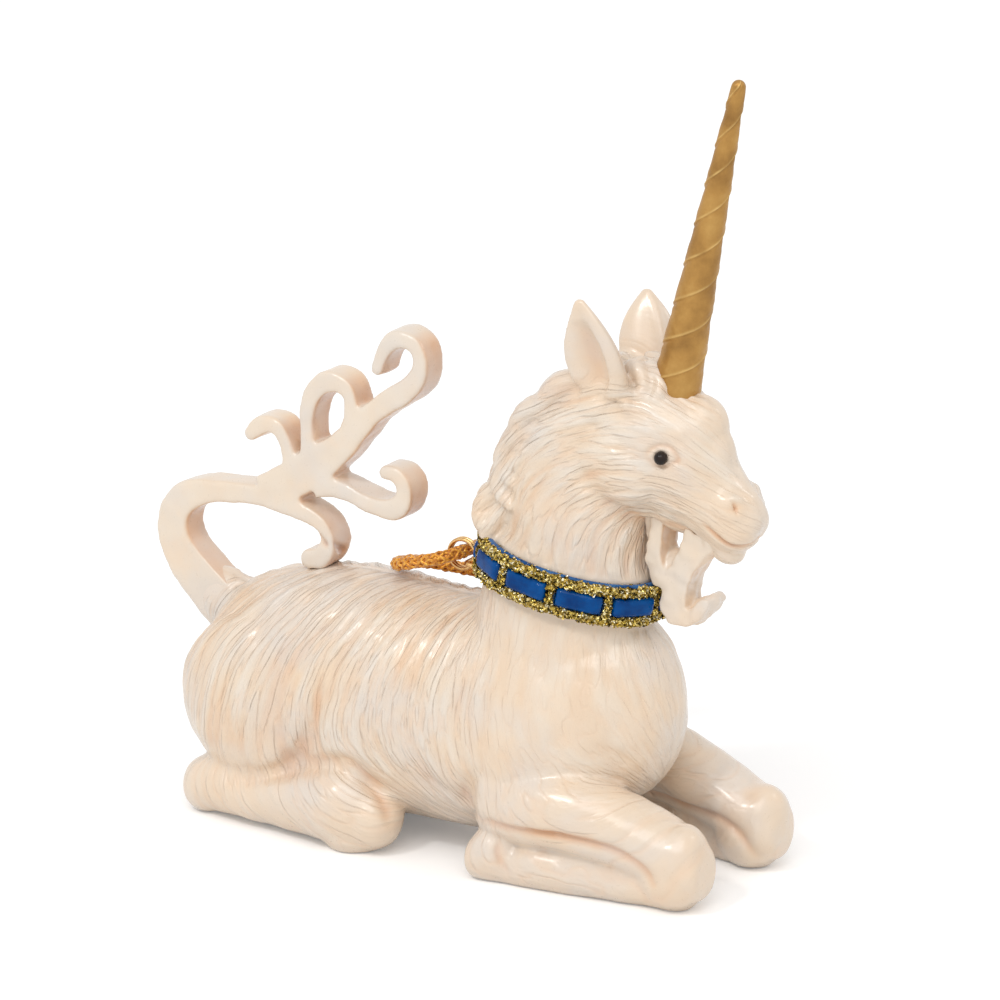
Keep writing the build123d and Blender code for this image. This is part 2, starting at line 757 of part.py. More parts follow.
def footprint_middle(pieces):
    """The middle of the figurine's footprint without its cord, where the frame has its origin."""
    boxes = [piece.bounding_box() for name, piece in pieces.items() if "cord" not in name]
    middle_x = (min(box.min.X for box in boxes) + max(box.max.X for box in boxes)) / 2
    middle_y = (min(box.min.Y for box in boxes) + max(box.max.Y for box in boxes)) / 2
    return Vector(middle_x, middle_y, 0)


os.makedirs("parts", exist_ok=True)
pieces = build()
origin = footprint_middle(pieces)
print("middle of the footprint", origin)
for name, piece in pieces.items():
    export_step(Pos(-origin) * piece, f"parts/{name}.step")
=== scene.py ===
import math

import bmesh
import bpy
import numpy as np
from mathutils import Matrix, Vector, bvhtree, noise


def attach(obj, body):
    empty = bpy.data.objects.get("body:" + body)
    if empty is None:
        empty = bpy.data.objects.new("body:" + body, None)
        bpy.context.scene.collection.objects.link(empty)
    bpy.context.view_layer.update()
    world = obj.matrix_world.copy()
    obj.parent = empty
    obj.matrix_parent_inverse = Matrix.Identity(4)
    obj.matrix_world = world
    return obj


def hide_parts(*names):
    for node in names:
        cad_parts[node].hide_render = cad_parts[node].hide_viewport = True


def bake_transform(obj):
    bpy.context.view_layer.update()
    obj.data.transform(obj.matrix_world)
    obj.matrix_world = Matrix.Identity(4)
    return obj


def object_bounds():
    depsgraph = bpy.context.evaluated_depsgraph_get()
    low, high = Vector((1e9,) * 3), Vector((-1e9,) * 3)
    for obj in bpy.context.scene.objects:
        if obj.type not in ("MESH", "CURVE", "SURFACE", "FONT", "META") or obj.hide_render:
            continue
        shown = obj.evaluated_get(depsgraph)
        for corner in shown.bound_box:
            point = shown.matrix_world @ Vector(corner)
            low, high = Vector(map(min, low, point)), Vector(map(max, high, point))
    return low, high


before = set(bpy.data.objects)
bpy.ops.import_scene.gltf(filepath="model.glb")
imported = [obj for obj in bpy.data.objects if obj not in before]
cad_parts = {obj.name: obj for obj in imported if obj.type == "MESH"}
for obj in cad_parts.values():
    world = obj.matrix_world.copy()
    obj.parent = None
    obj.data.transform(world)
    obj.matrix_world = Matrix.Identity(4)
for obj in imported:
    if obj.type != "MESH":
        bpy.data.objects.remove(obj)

cad_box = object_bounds()
mm = 0.001
# Clay, horn and collar are in mm in the part's working frame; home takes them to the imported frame, whose origin is
# the footprint's middle.
home = np.array([-0.7175, -0.6471, 0.0])
collar_middle = np.array([18.45, 0.0, 38.8])
collar_tilt = math.radians(10)

# Camera at the photograph's angle: 31 degrees round from the unicorn's right side and 17 degrees up.
azimuth = math.radians(31.0)
elevation = math.radians(17.0)
aim_right, aim_up, camera_distance = 6.554, 43.056, 600.0
sensor_width, zoom = 36.0, 4.614
near_clip, far_clip = 0.05, 20.0
back = Vector((math.sin(azimuth) * math.cos(elevation), -math.cos(azimuth) * math.cos(elevation), math.sin(elevation)))
right = Vector((math.cos(azimuth), math.sin(azimuth), 0.0))
up = back.cross(right)
camera_data = bpy.data.cameras.new("camera")
camera = bpy.data.objects.new("camera", camera_data)
bpy.context.collection.objects.link(camera)
place = right * aim_right + up * aim_up + back * camera_distance
turn = Matrix((right, up, back)).transposed().to_4x4()
camera.matrix_world = Matrix.Translation((place + Vector(home)) * mm) @ turn
camera_data.sensor_width = sensor_width
camera_data.lens = zoom * sensor_width
camera_data.clip_start = near_clip
camera_data.clip_end = far_clip
scene = bpy.context.scene
scene.camera = camera
scene.view_settings.view_transform = "Standard"


# ---------------------------------------------------------------- mesh helpers

def add_object(name, mesh, slot, mat, *stands_for, body="figurine"):
    """A piece of the figurine, with the CAD nodes that it stands for."""
    piece = bpy.data.objects.new(name, mesh)
    bpy.context.collection.objects.link(piece)
    if body:
        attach(piece, body)
    if stands_for:
        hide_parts(*stands_for)
    mesh.materials.clear()
    mesh.materials.append(mat)
    return piece


def metres(points):
    """Points of the working frame, in mm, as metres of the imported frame."""
    return (np.asarray(points, float) + home) * mm


def points_of(mesh):
    """A mesh's points in the working frame, in mm."""
    co = np.empty(len(mesh.vertices) * 3)
    mesh.vertices.foreach_get("co", co)
    return co.reshape(-1, 3) / mm - home


def store(mesh, name, kind, field, values):
    """Keep a value for each point in the mesh, for its material."""
    layer = mesh.attributes.new(name, kind, "POINT")
    layer.data.foreach_set(field, np.asarray(values, np.float32).ravel())


def mesh_from(name, points, faces):
    mesh = bpy.data.meshes.new(name)
    mesh.from_pydata(np.asarray(points, float).tolist(), [], faces)
    mesh.polygons.foreach_set("use_smooth", [True] * len(mesh.polygons))
    mesh.update()
    return mesh


def smooth_line(points, per=6):
    """Catmull-Rom points through a given line."""
    p = np.asarray(points, float)
    p = np.vstack([2 * p[0] - p[1], p, 2 * p[-1] - p[-2]])
    out = []
    for i in range(1, len(p) - 2):
        for t in np.arange(per) / per:
            a, b, c, d = p[i - 1], p[i], p[i + 1], p[i + 2]
            bend = (2 * a - 5 * b + 4 * c - d) * t * t
            out.append(0.5 * (2 * b + (c - a) * t + bend + (3 * b - a - 3 * c + d) * t ** 3))
    out.append(p[-2])
    return np.array(out)


def line_frames(points):
    """Tangents and two normals carried along a line without twist."""
    p = np.asarray(points, float)
    tangent = np.gradient(p, axis=0)
    tangent /= np.linalg.norm(tangent, axis=1)[:, None]
    side = np.cross(tangent[0], [0.3, 0.2, 1.0])
    side /= np.linalg.norm(side)
    sides = [side]
    for t in tangent[1:]:
        side = sides[-1] - t * np.dot(sides[-1], t)
        sides.append(side / np.linalg.norm(side))
    sides = np.array(sides)
    return tangent, sides, np.cross(tangent, sides)


def skin(rows, ring, closed=False):
    """Faces between rows of points, where each row is a closed ring."""
    faces = []
    for i in range(rows if closed else rows - 1):
        m = (i + 1) % rows
        for j in range(ring):
            k = (j + 1) % ring
            faces.append((i * ring + j, i * ring + k, m * ring + k, m * ring + j))
    return faces


def tube(points, radii, ring=10, flat=1.0):
    """Vertices and faces of a closed tube of varying radius."""
    p = np.asarray(points, float)
    radii = np.broadcast_to(np.asarray(radii, float), (len(p),))
    _, a, b = line_frames(p)
    angle = np.linspace(0, 2 * np.pi, ring, endpoint=False)
    first = np.cos(angle)[None, :, None] * a[:, None]
    second = flat * np.sin(angle)[None, :, None] * b[:, None]
    rings = p[:, None] + radii[:, None, None] * (first + second)
    verts = np.vstack([rings.reshape(-1, 3), p[:1], p[-1:]])
    n = len(p)
    faces = skin(n, ring)
    for j in range(ring):
        k = (j + 1) % ring
        faces.append((n * ring, k, j))
        faces.append((n * ring + 1, (n - 1) * ring + j, (n - 1) * ring + k))
    return verts, faces


def gather(parts):
    """One vertex list and face list out of several."""
    verts, faces, start = [], [], 0
    for v, f in parts:
        verts.append(v)
        faces.extend(tuple(i + start for i in face) for face in f)
        start += len(v)
    return np.vstack(verts), faces


def egg(centre, halves, lean_deg=0.0, yaw_deg=0.0):
    """An ellipsoid of clay: vertices and faces."""
    bm = bmesh.new()
    bmesh.ops.create_icosphere(bm, subdivisions=3, radius=1.0)
    verts = np.array([v.co[:] for v in bm.verts]) * halves
    faces = [tuple(v.index for v in f.verts) for f in bm.faces]
    bm.free()
    turn = Matrix.Rotation(math.radians(yaw_deg), 3, "Z") @ Matrix.Rotation(math.radians(lean_deg), 3, "Y")
    return verts @ np.array(turn).T + np.asarray(centre, float), faces


def lock(points, radii, ring=10, per=5, flat=1.0):
    """A lock of hair: a tapered tube through given points."""
    line = smooth_line(points, per)
    sizes = np.interp(np.linspace(0, 1, len(line)), np.linspace(0, 1, len(radii)), radii)
    return tube(line, sizes, ring, flat)


def mirrored(parts):
    out = []
    for v, f in parts:
        out.append((v * [1, -1, 1], [tuple(reversed(face)) for face in f]))
    return out


class Clay:
    """A sculpted piece: a CAD node and added solids, melted by a voxel remesh and worked point by point, in mm."""

    own, shared = 0.4, 0.6  # weights of a point and of its neighbours when it is relaxed
    sight_slack = 14  # mm that a given point may lie off the surface
    rounds = 400  # of conjugate gradients

    def __init__(self, node, extra, voxel, relax):
        self.node = node
        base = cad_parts[node].data
        verts, faces = gather([(points_of(base), [tuple(p.vertices) for p in base.polygons]), *extra])
        lump = bpy.data.objects.new("clay", mesh_from("clay", metres(verts), faces))
        bpy.context.collection.objects.link(lump)
        melt = lump.modifiers.new("melt", "REMESH")
        melt.mode = "VOXEL"
        melt.voxel_size = voxel * mm
        seen = lump.evaluated_get(bpy.context.evaluated_depsgraph_get())
        self.mesh = bpy.data.meshes.new_from_object(seen)
        bpy.data.objects.remove(lump)
        n = len(self.mesh.vertices)
        self.p = points_of(self.mesh)
        edges = np.empty(len(self.mesh.edges) * 2, dtype=int)
        self.mesh.edges.foreach_get("vertices", edges)
        self.edges = edges.reshape(-1, 2)
        self.degree = np.bincount(self.edges.ravel(), minlength=n).astype(float)[:, None]
        self.relief_and_painted_light = np.zeros(n)
        self.strand = np.zeros((n, 3))
        self.p = self.spread(self.p, relax)
        self.update()

    def spread(self, values, times):
        """Average with the neighbours, several times over."""
        flat = values.reshape(len(values), -1)
        a, b = self.edges.T
        for _ in range(times):
            total = np.empty_like(flat)
            for c in range(flat.shape[1]):
                total[:, c] = np.bincount(a, flat[b, c], len(flat)) + np.bincount(b, flat[a, c], len(flat))
            flat = self.own * flat + self.shared * total / self.degree
        return flat.reshape(values.shape)

    def update(self):
        self.mesh.vertices.foreach_set("co", metres(self.p).ravel())
        self.mesh.update()
        normal = np.empty(len(self.p) * 3)
        self.mesh.vertices.foreach_get("normal", normal)
        self.n = normal.reshape(-1, 3)
        self.tree = None

    def hit(self, points, mirror=False):
        """Given points of the photograph, put down on the surface along the camera's line of sight."""
        if self.tree is None:
            polygons = [tuple(q.vertices) for q in self.mesh.polygons]
            self.tree = bvhtree.BVHTree.FromPolygons(self.p.tolist(), polygons)
        out = []
        for point in points:
            point = Vector(point)
            spot = self.tree.ray_cast(place, (point - place).normalized())[0]
            if spot is None or (spot - point).length > self.sight_slack:
                spot = self.tree.find_nearest(point)[0]
            if mirror:
                spot = self.tree.find_nearest(Vector((spot.x, -spot.y, spot.z)))[0]
            out.append(spot[:])
        return np.array(out)

    def nearness(self, line, width, taper=0.0):
        """1 on a line, falling off with distance from it, and less towards its ends where it tapers."""
        best = np.full(len(self.p), 1e9)
        share = np.zeros(len(self.p))
        for i, (a, b) in enumerate(zip(line[:-1], line[1:])):
            way = b - a
            t = np.clip((self.p - a) @ way / max(way @ way, 1e-9), 0, 1)
            far = ((self.p - a - t[:, None] * way) ** 2).sum(1)
            share = np.where(far < best, (i + t) / (len(line) - 1), share)
            best = np.minimum(best, far)
        return np.exp(-best / width ** 2) * np.sin(np.pi * np.clip(share, 0.02, 0.98)) ** taper

    def carve(self, points, depth, width, sides=(False, True), tint=1.0, taper=0.4):
        for mirror in sides:
            line = smooth_line(self.hit(points, mirror), 5)
            near = self.nearness(line, width, taper)
            self.p -= self.n * (near * depth)[:, None]
            self.relief_and_painted_light -= near * tint * np.sign(depth)

    def press(self, line, depth, width, way, tint=0.5):
        """Hollow out the face that looks along a direction, round a line."""
        way = np.asarray(way, float) / np.linalg.norm(way)
        near = self.nearness(smooth_line(line, 5), width, 0.5) * between(self.n @ way, 0.05, 0.5)
        self.p -= way * (near * depth)[:, None]
        self.relief_and_painted_light -= near * tint

    def flow(self, guides):
        """A tangent direction everywhere, blended from guides of place, direction and reach."""
        rows = []
        for x, y, z, dx, dy, dz, reach in guides:
            rows.append((x, y, z, dx, dy, dz, reach))
            if y != 0:
                rows.append((x, -y, z, dx, -dy, dz, reach))
        total = np.zeros_like(self.p)
        for x, y, z, dx, dy, dz, reach in rows:
            way = np.array([dx, dy, dz]) / np.linalg.norm([dx, dy, dz])
            w = np.exp(-((self.p - [x, y, z]) ** 2).sum(1) / reach ** 2) + 1e-9
            total += w[:, None] * way
        total -= self.n * (total * self.n).sum(1)[:, None]
        return total / np.maximum(np.linalg.norm(total, axis=1), 1e-12)[:, None]

    def unroll(self, guides, amount, across_guess, along_guess):
        """Surface coordinates across and along the flow, in mm, for hairs finer than the mesh, a set for each side."""
        way = self.flow(guides)
        side = np.where(self.p[:, 1] > 0, 1.0, -1.0)
        a, b = self.edges[side[self.edges[:, 0]] == side[self.edges[:, 1]]].T
        step = self.p[b] - self.p[a]
        fields = []
        starts = (np.cross(self.n, way), side * (self.p @ across_guess)), (way, self.p @ along_guess)
        for direction, guess in starts:
            rise = ((direction[a] + direction[b]) * step).sum(1) / 2
            fields.append(self.heights(a, b, rise, guess))
        fields.append(np.clip(amount * between(np.abs(self.p[:, 1]), 0.2, 0.9), 0, 1))
        self.strand = np.stack(fields, 1)

    def hairs(self, wide, long, layer, crisp):
        """Strands of a given width and length, as noise in the coordinates across and along the flow."""
        across, onward = self.strand[:, 0] / wide, self.strand[:, 1] / long
        value = np.array([noise.noise(Vector((u, v, layer))) for u, v in zip(across.tolist(), onward.tolist())])
        return np.tanh(crisp * (value / value.std()))

    def heights(self, a, b, rise, value):
        """The heights whose differences along the edges come nearest to a given rise, by conjugate gradients."""
        count = len(self.p)
        degree = np.maximum(np.bincount(a, minlength=count) + np.bincount(b, minlength=count), 1)

        def pull(along):
            return np.bincount(b, along, count) - np.bincount(a, along, count)

        left = pull(rise - (value[b] - value[a]))
        way = left / degree
        power = left @ way
        for _ in range(self.rounds):
            drawn = pull(way[b] - way[a])
            size = power / (way @ drawn)
            value = value + size * way
            left = left - size * drawn
            eased = left / degree
            power, old = left @ eased, power
            way = eased + power / old * way
        return value

    def finish(self, name, slot, mat):
        self.p = np.clip(self.p, np.array(cad_box[0]) / mm - home, np.array(cad_box[1]) / mm - home)
        self.update()
        mesh = self.mesh
        mesh.name = name
        mesh.polygons.foreach_set("use_smooth", [True] * len(mesh.polygons))
        store(mesh, "relief_and_painted_light", "FLOAT", "value", np.clip(self.relief_and_painted_light, -2, 2))
        store(mesh, "strand", "FLOAT_VECTOR", "vector", self.strand)
        mesh.update()
        add_object(name, mesh, slot, mat, self.node)


def between(value, low, high):
    """0 below low, 1 above high, smooth between."""
    t = np.clip((value - low) / (high - low), 0, 1)
    return t * t * (3 - 2 * t)


def above_collar(p):
    """Height of points over the collar's tilted middle plane."""
    x, _, z = p.T
    return (x - collar_middle[0]) * math.sin(collar_tilt) + (z - collar_middle[2]) * math.cos(collar_tilt)


def waves_over(clay, seed, times):
    """Smooth random unevenness, from noise averaged several times over."""
    waves = clay.spread(np.random.default_rng(seed).standard_normal(len(clay.p)), times)
    return waves / waves.std()


# ---------------------------------------------------------------- materials

def grey(level):
    return (level,) * 3


class Tree:
    """A node tree and the shader that its nodes end in."""

    def __init__(self, owner, shader):
        owner.use_nodes = True
        self.nodes, self.links = owner.node_tree.nodes, owner.node_tree.links
        self.shader = self.nodes[shader]

    def feed(self, value, socket):
        """Link a socket to another, or set its colour or number."""
        if hasattr(value, "links"):
            self.links.new(value, socket)
        elif isinstance(value, tuple):
            socket.default_value = (*value, 1.0)
        else:
            socket.default_value = value

    def set(self, **values):
        """Sockets of the shader, by name with _ for a space."""
        for name, value in values.items():
            self.feed(value, self.shader.inputs[name.replace("_", " ")])

    def place(self):
        return self.nodes.new("ShaderNodeTexCoord").outputs["Object"]

    def kept(self, name, output="Fac"):
        """A value stored in the mesh."""
        node = self.nodes.new("ShaderNodeAttribute")
        node.attribute_name = name
        return node.outputs[output]

    def noise(self, scale, detail=4.0, rough=0.55, source=None):
        node = self.nodes.new("ShaderNodeTexNoise")
        node.inputs["Scale"].default_value = scale
        node.inputs["Detail"].default_value = detail
        node.inputs["Roughness"].default_value = rough
        self.links.new(self.place() if source is None else source, node.inputs["Vector"])
        return node.outputs["Fac"]

    def ramp(self, source, *stops):
        node = self.nodes.new("ShaderNodeValToRGB")
        while len(node.color_ramp.elements) < len(stops):
            node.color_ramp.elements.new(0.5)
        for element, (at, colour) in zip(node.color_ramp.elements, stops):
            element.position = at
            element.color = (*colour, 1.0)
        self.links.new(source, node.inputs["Fac"])
        return node.outputs["Color"]

    def span(self, source, **ends):
        """A map range, with its ends by name."""
        node = self.nodes.new("ShaderNodeMapRange")
        for name, value in ends.items():
            node.inputs[name.replace("_", " ")].default_value = value
        self.links.new(source, node.inputs["Value"])
        return node.outputs["Result"]

    def mixed(self, factor, a, b):
        node = self.nodes.new("ShaderNodeMix")
        node.data_type = "RGBA"
        for socket, value in ((node.inputs[0], factor), (node.inputs[6], a), (node.inputs[7], b)):
            self.feed(value, socket)
        return node.outputs[2]

    def computed(self, operation, *values):
        node = self.nodes.new("ShaderNodeMath")
        node.operation = operation
        for socket, value in zip(node.inputs, values):
            self.feed(value, socket)
        return node.outputs[0]

    def stretched(self, source, scale):
        node = self.nodes.new("ShaderNodeMapping")
        node.inputs["Scale"].default_value = scale
        self.links.new(source, node.inputs["Vector"])
        return node.outputs["Vector"]

    def bump(self, height, strength, distance):
        """A bump into the shader, on top of the bump before it."""
        node = self.nodes.new("ShaderNodeBump")
        node.inputs["Strength"].default_value = strength
        node.inputs["Distance"].default_value = distance
        self.links.new(height, node.inputs["Height"])
        into = self.shader.inputs["Normal"]
        if into.links:
            self.links.new(into.links[0].from_socket, node.inputs["Normal"])
        self.links.new(node.outputs["Normal"], into)


def material(name):
    mat = bpy.data.materials.new(name)
    return mat, Tree(mat, "Principled BSDF")


def pearl_resin():
    """Cream resin: pearl on what stands proud, peach in what is cut in, and clouds of lilac grey. The values stored
    with each mesh also carry painted light and painted shade on the tail and beard, and some painted shade in the
    crease under the haunch.
    """
    mat, tree = material("pearl_resin")
    tone = tree.ramp(
        tree.span(tree.kept("relief_and_painted_light"), From_Min=-1.6, From_Max=1.6), (0.00, (0.50, 0.22, 0.09)),
        (0.22, (0.73, 0.45, 0.27)), (0.42, (0.77, 0.60, 0.44)), (0.60, (0.78, 0.66, 0.53)), (0.85, (0.83, 0.78, 0.71)))
    lilac = tree.ramp(tree.noise(95.0, 3.0), (0.42, grey(0.0)), (0.68, grey(0.55)))
    body = tree.mixed(lilac, tone, (0.68, 0.63, 0.59))
    blush = tree.ramp(tree.noise(160.0, 3.0), (0.50, grey(0.0)), (0.75, grey(0.5)))
    body = tree.mixed(blush, body, (0.83, 0.62, 0.43))
    # Fine hairs, drawn in the coordinates across and along the strands.
    strand = tree.kept("strand", "Vector")
    part = tree.nodes.new("ShaderNodeSeparateXYZ")
    tree.links.new(strand, part.inputs["Vector"])
    combed = part.outputs["Z"]
    drawn = tree.stretched(strand, (1.0, 0.14, 0.0))
    groove = tree.ramp(tree.noise(0.95, 1.5, 0.5, drawn), (0.44, grey(1.0)), (0.50, grey(0.0)), (0.56, grey(1.0)))
    height = tree.computed("MULTIPLY_ADD", groove, 0.45, tree.noise(2.9, 2.0, 0.55, drawn))
    between_hairs = tree.computed("MULTIPLY", tree.span(groove, To_Min=0.26, To_Max=0.0), combed)
    body = tree.mixed(between_hairs, body, (0.80, 0.53, 0.34))
    gloss = tree.ramp(tree.noise(2600.0, 3.0), (0.3, grey(0.26)), (0.7, grey(0.40)))
    tree.set(Base_Color=body, Roughness=gloss, Metallic=0.0, Coat_Weight=0.60, Coat_Roughness=0.20,
             Sheen_Weight=0.15, Sheen_Roughness=0.4)
    tree.bump(tree.computed("MULTIPLY", height, combed), 1.0, 0.00023)
    tree.bump(tree.noise(900.0, 5.0), 0.2, 0.00012)
    return mat


def gilt():
    """Satin antique-gold paint, darker in broad brushed patches, with a painted highlight of pale gold along the ridge
    lips.
    """
    mat, tree = material("gilt_paint")
    colour = tree.ramp(
        tree.noise(260.0, 5.0), (0.30, (0.30, 0.150, 0.035)), (0.55, (0.46, 0.245, 0.062)), (0.8, (0.58, 0.34, 0.10)))
    speck = tree.noise(3200.0, 3.0)
    gloss = tree.ramp(speck, (0.3, grey(0.34)), (0.7, grey(0.52)))
    tree.set(Base_Color=tree.mixed(tree.kept("relief_and_painted_light"), colour, (0.95, 0.68, 0.26)), Metallic=0.55, Roughness=gloss)
    tree.bump(speck, 0.35, 0.00008)
    return mat


def black_gloss():
    mat, tree = material("black_gloss")
    colour = tree.ramp(tree.noise(700.0), (0.3, (0.006, 0.005, 0.005)), (0.8, (0.030, 0.016, 0.010)))
    tree.set(Base_Color=colour, Roughness=0.12, Specular_IOR_Level=0.25)
    return mat


def blue(name, deep, light, rough):
    """Blue enamel with thin and thick places, clear on top."""
    mat, tree = material(name)
    colour = tree.ramp(tree.noise(380.0, 3.0), (0.32, deep), (0.72, light))
    tree.set(Base_Color=colour, Roughness=rough, Specular_IOR_Level=0.10, Coat_Weight=0.06, Coat_Roughness=0.05)
    tree.bump(tree.noise(420.0, 2.0), 0.3, 0.0002)
    return mat


def glitter(name, metal, rough):
    """Glitter: every fleck its own gold, from nearly white to brown-green."""
    mat, tree = material(name)
    cell = tree.nodes.new("ShaderNodeTexVoronoi")
    cell.inputs["Scale"].default_value = 3600.0
    tree.links.new(tree.place(), cell.inputs["Vector"])
    split = tree.nodes.new("ShaderNodeSeparateColor")
    tree.links.new(cell.outputs["Color"], split.inputs["Color"])
    colour = tree.ramp(
        split.outputs["Red"], (0.0, (0.05, 0.04, 0.01)), (0.30, (0.30, 0.20, 0.03)), (0.62, (0.62, 0.44, 0.08)),
        (0.85, (0.95, 0.78, 0.30)), (0.96, (1.0, 0.95, 0.75)))
    tree.set(Base_Color=colour, Metallic=metal, Roughness=rough)
    tree.bump(cell.outputs["Distance"], 0.8, 0.0002)
    return mat


def wood():
    mat, tree = material("beech")
    grain = tree.noise(900.0, 5.0, source=tree.stretched(tree.place(), (1.0, 1.0, 0.12)))
    tree.set(Base_Color=tree.ramp(grain, (0.35, (0.40, 0.22, 0.10)), (0.65, (0.62, 0.42, 0.23))), Roughness=0.6)
    return mat


def metal(name, dark, light, rough):
    """Drawn wire: fine scratches and a little tarnish."""
    mat, tree = material(name)
    patch = tree.noise(900.0, 4.0)
    gloss = tree.ramp(patch, (0.3, grey(rough + 0.12)), (0.7, grey(rough)))
    tree.set(Base_Color=tree.ramp(patch, (0.3, dark), (0.7, light)), Metallic=1.0, Roughness=gloss)
    return mat


def braid_yarn():
    """Shiny rayon yarn: orange gold with bright and brown fibres."""
    mat, tree = material("gold_braid")
    fibre = tree.noise(2400.0, 4.0, 0.7)
    colour = tree.ramp(fibre, (0.30, (0.24, 0.050, 0.003)), (0.50, (0.70, 0.27, 0.014)), (0.70, (0.97, 0.60, 0.10)))
    tree.set(Base_Color=colour, Metallic=0.35, Roughness=0.34, Sheen_Weight=0.3)
    tree.bump(fibre, 0.5, 0.0001)
    return mat


pearl = pearl_resin()
gold_paint = gilt()
gold_wire = metal("gold_wire", (0.55, 0.30, 0.10), (0.90, 0.62, 0.30), 0.18)
enamel = blue("blue_enamel", (0.004, 0.045, 0.16), (0.015, 0.12, 0.34), 0.16)
enamel_edge = blue("blue_enamel_edge", (0.005, 0.055, 0.20), (0.05, 0.16, 0.38), 0.2)
stone_blue = blue("blue_stone", (0.000, 0.032, 0.150), (0.000, 0.080, 0.300), 0.10)
glitter_bed = glitter("gold_glitter", 0.5, 0.42)
glitter_fleck = glitter("gold_flecks", 0.85, 0.22)
yarn = braid_yarn()


# ---------------------------------------------------------------- cord

# The same points as the part's source, in metres: from the ring round the left strand to the knot
# on the ground, and back up the right strand.
cord_points = (home * mm + [
    (0.00195, 0.0, 0.03845),
    (0.00075, -0.00275, 0.03815), (-0.0036, -0.003, 0.0369), (-0.0068, -0.0019, 0.0358), (-0.008, 0.0009, 0.0352),
    (-0.0068, 0.0036, 0.0349), (-0.0032, 0.0056, 0.0342), (0.0016, 0.0086, 0.033), (0.0052, 0.0128, 0.0294),
    (0.0066, 0.0159, 0.0228), (0.0064, 0.017, 0.0146), (0.0042, 0.0182, 0.0072), (-0.0006, 0.0202, 0.0023),
    (-0.0074, 0.0216, 0.001), (-0.01431, 0.0226, 0.0015),
    (-0.01431, 0.0246, 0.0015), (-0.0076, 0.0252, 0.001), (-0.0012, 0.0246, 0.0013), (0.0046, 0.0224, 0.0042),
    (0.0082, 0.0198, 0.0102), (0.0096, 0.0181, 0.0186), (0.01, 0.0167, 0.0272), (0.0089, 0.0142, 0.0342),
    (0.007, 0.0108, 0.0384), (0.0049, 0.0066, 0.0396), (0.00315, 0.00275, 0.03875),
    (0.00195, 0.0, 0.03845),
]).tolist()
route = bpy.data.curves.new("cord_route", "CURVE")
route.dimensions = "3D"
route.resolution_u = 16
spline = route.splines.new("NURBS")
spline.points.add(len(cord_points) - 1)
for point, spot in zip(spline.points, cord_points):
    point.co = (*spot, 1.0)
spline.order_u = 3
spline.use_endpoint_u = True
route_object = bpy.data.objects.new("cord_route", route)
bpy.context.collection.objects.link(route_object)
route_mesh = bpy.data.meshes.new_from_object(route_object)
cord_line = np.array([v.co[:] for v in route_mesh.vertices])
bpy.data.objects.remove(route_object)
bpy.data.meshes.remove(route_mesh)


def along(line, spacing):
    """Points at even distances along a line."""
    steps = np.linalg.norm(np.diff(line, axis=0), axis=1)
    reach = np.concatenate([[0], np.cumsum(steps)])
    at = np.linspace(0, reach[-1], int(reach[-1] / spacing) + 1)
    return np.stack([np.interp(at, reach, line[:, c]) for c in range(3)], 1), at


def braid(line, radius, strands, pitch, spacing):
    """A round braid: half the yarns wind one way and half the other, each over and under in turn."""
    core, yarn_radius, yarn_place, weave_depth = 0.62, 0.27, 0.74, 0.09  # shares of the radius
    points, at = along(line, spacing)
    _, a, b = line_frames(points)
    parts = [tube(points, radius * core, 8)]
    half = strands // 2
    for k in range(strands):
        hand = 1 if k < half else -1
        angle = hand * 2 * np.pi * at / pitch + 2 * np.pi * (k % half) / half
        weave = np.cos(half * (2 * np.pi * at / pitch) + (0 if hand > 0 else np.pi) + np.pi * (k % half))
        reach = radius * (yarn_place + weave_depth * weave)
        yarn_line = points + (np.cos(angle) * reach)[:, None] * a + (np.sin(angle) * reach)[:, None] * b
        parts.append(tube(yarn_line, radius * yarn_radius, 6))
    return gather(parts)


braid_points, braid_faces = braid(cord_line, radius=0.00087, strands=8, pitch=0.0048, spacing=0.00030)
braid_points[:, 1] = np.minimum(braid_points[:, 1], cad_box[1][1])
cord = add_object("hanging_cord", mesh_from("hanging_cord", braid_points, braid_faces), "gold_braid", yarn,
                  "hanging_cord_left", "hanging_cord_right", "hanging_cord_eyelet", body=None)
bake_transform(cord)

# The knot at the loop's end: the yarns wound round a ball, and a short frayed end.
knot_middle = home * mm + [-0.0152, 0.0236, 0.00235]
knot_size, wound_radius, fibre_radius, fibres = 0.86, 0.00070, 0.00011, 14
above_ground = 0.00005
chance = np.random.default_rng(11)
turns = []
for lean, wide in ((20, 1.75), (65, 1.70), (-35, 1.70), (-75, 1.75), (100, 1.65)):
    t = np.linspace(0, 2 * np.pi, 40)
    ring = np.stack([np.cos(t) * wide, np.sin(t) * wide, 0.35 * np.sin(3 * t)], 1)
    turning = Matrix.Rotation(math.radians(lean), 3, "X") @ Matrix.Rotation(math.radians(lean * 0.7), 3, "Y")
    turns.append(tube(ring @ np.array(turning).T * mm * knot_size + knot_middle, wound_radius, 8))
for _ in range(fibres):
    spin = chance.uniform(-1, 1, 3)
    tip = np.array([-3.0 - 0.5 * spin[0], 0.9 * spin[1], -0.9 + 0.5 * spin[2]])
    fibre = smooth_line([(-0.8, 0, 0), (-1.9, 0.4 * spin[1], -0.3), 0.72 * tip + [0, 0, 0.1], tip * 0.76], 4)
    turns.append(tube(fibre * mm + knot_middle, fibre_radius, 5))
knot_points, knot_faces = gather(turns)
knot_points[:, 2] = np.maximum(knot_points[:, 2], above_ground)
knot_points[:, 1] = np.minimum(knot_points[:, 1], cad_box[1][1])
knot_mesh = mesh_from("cord_loop_knot", knot_points, knot_faces)
knot = add_object("cord_loop_knot", knot_mesh, "gold_braid", yarn, "cord_knot")


# ---------------------------------------------------------------- body casting

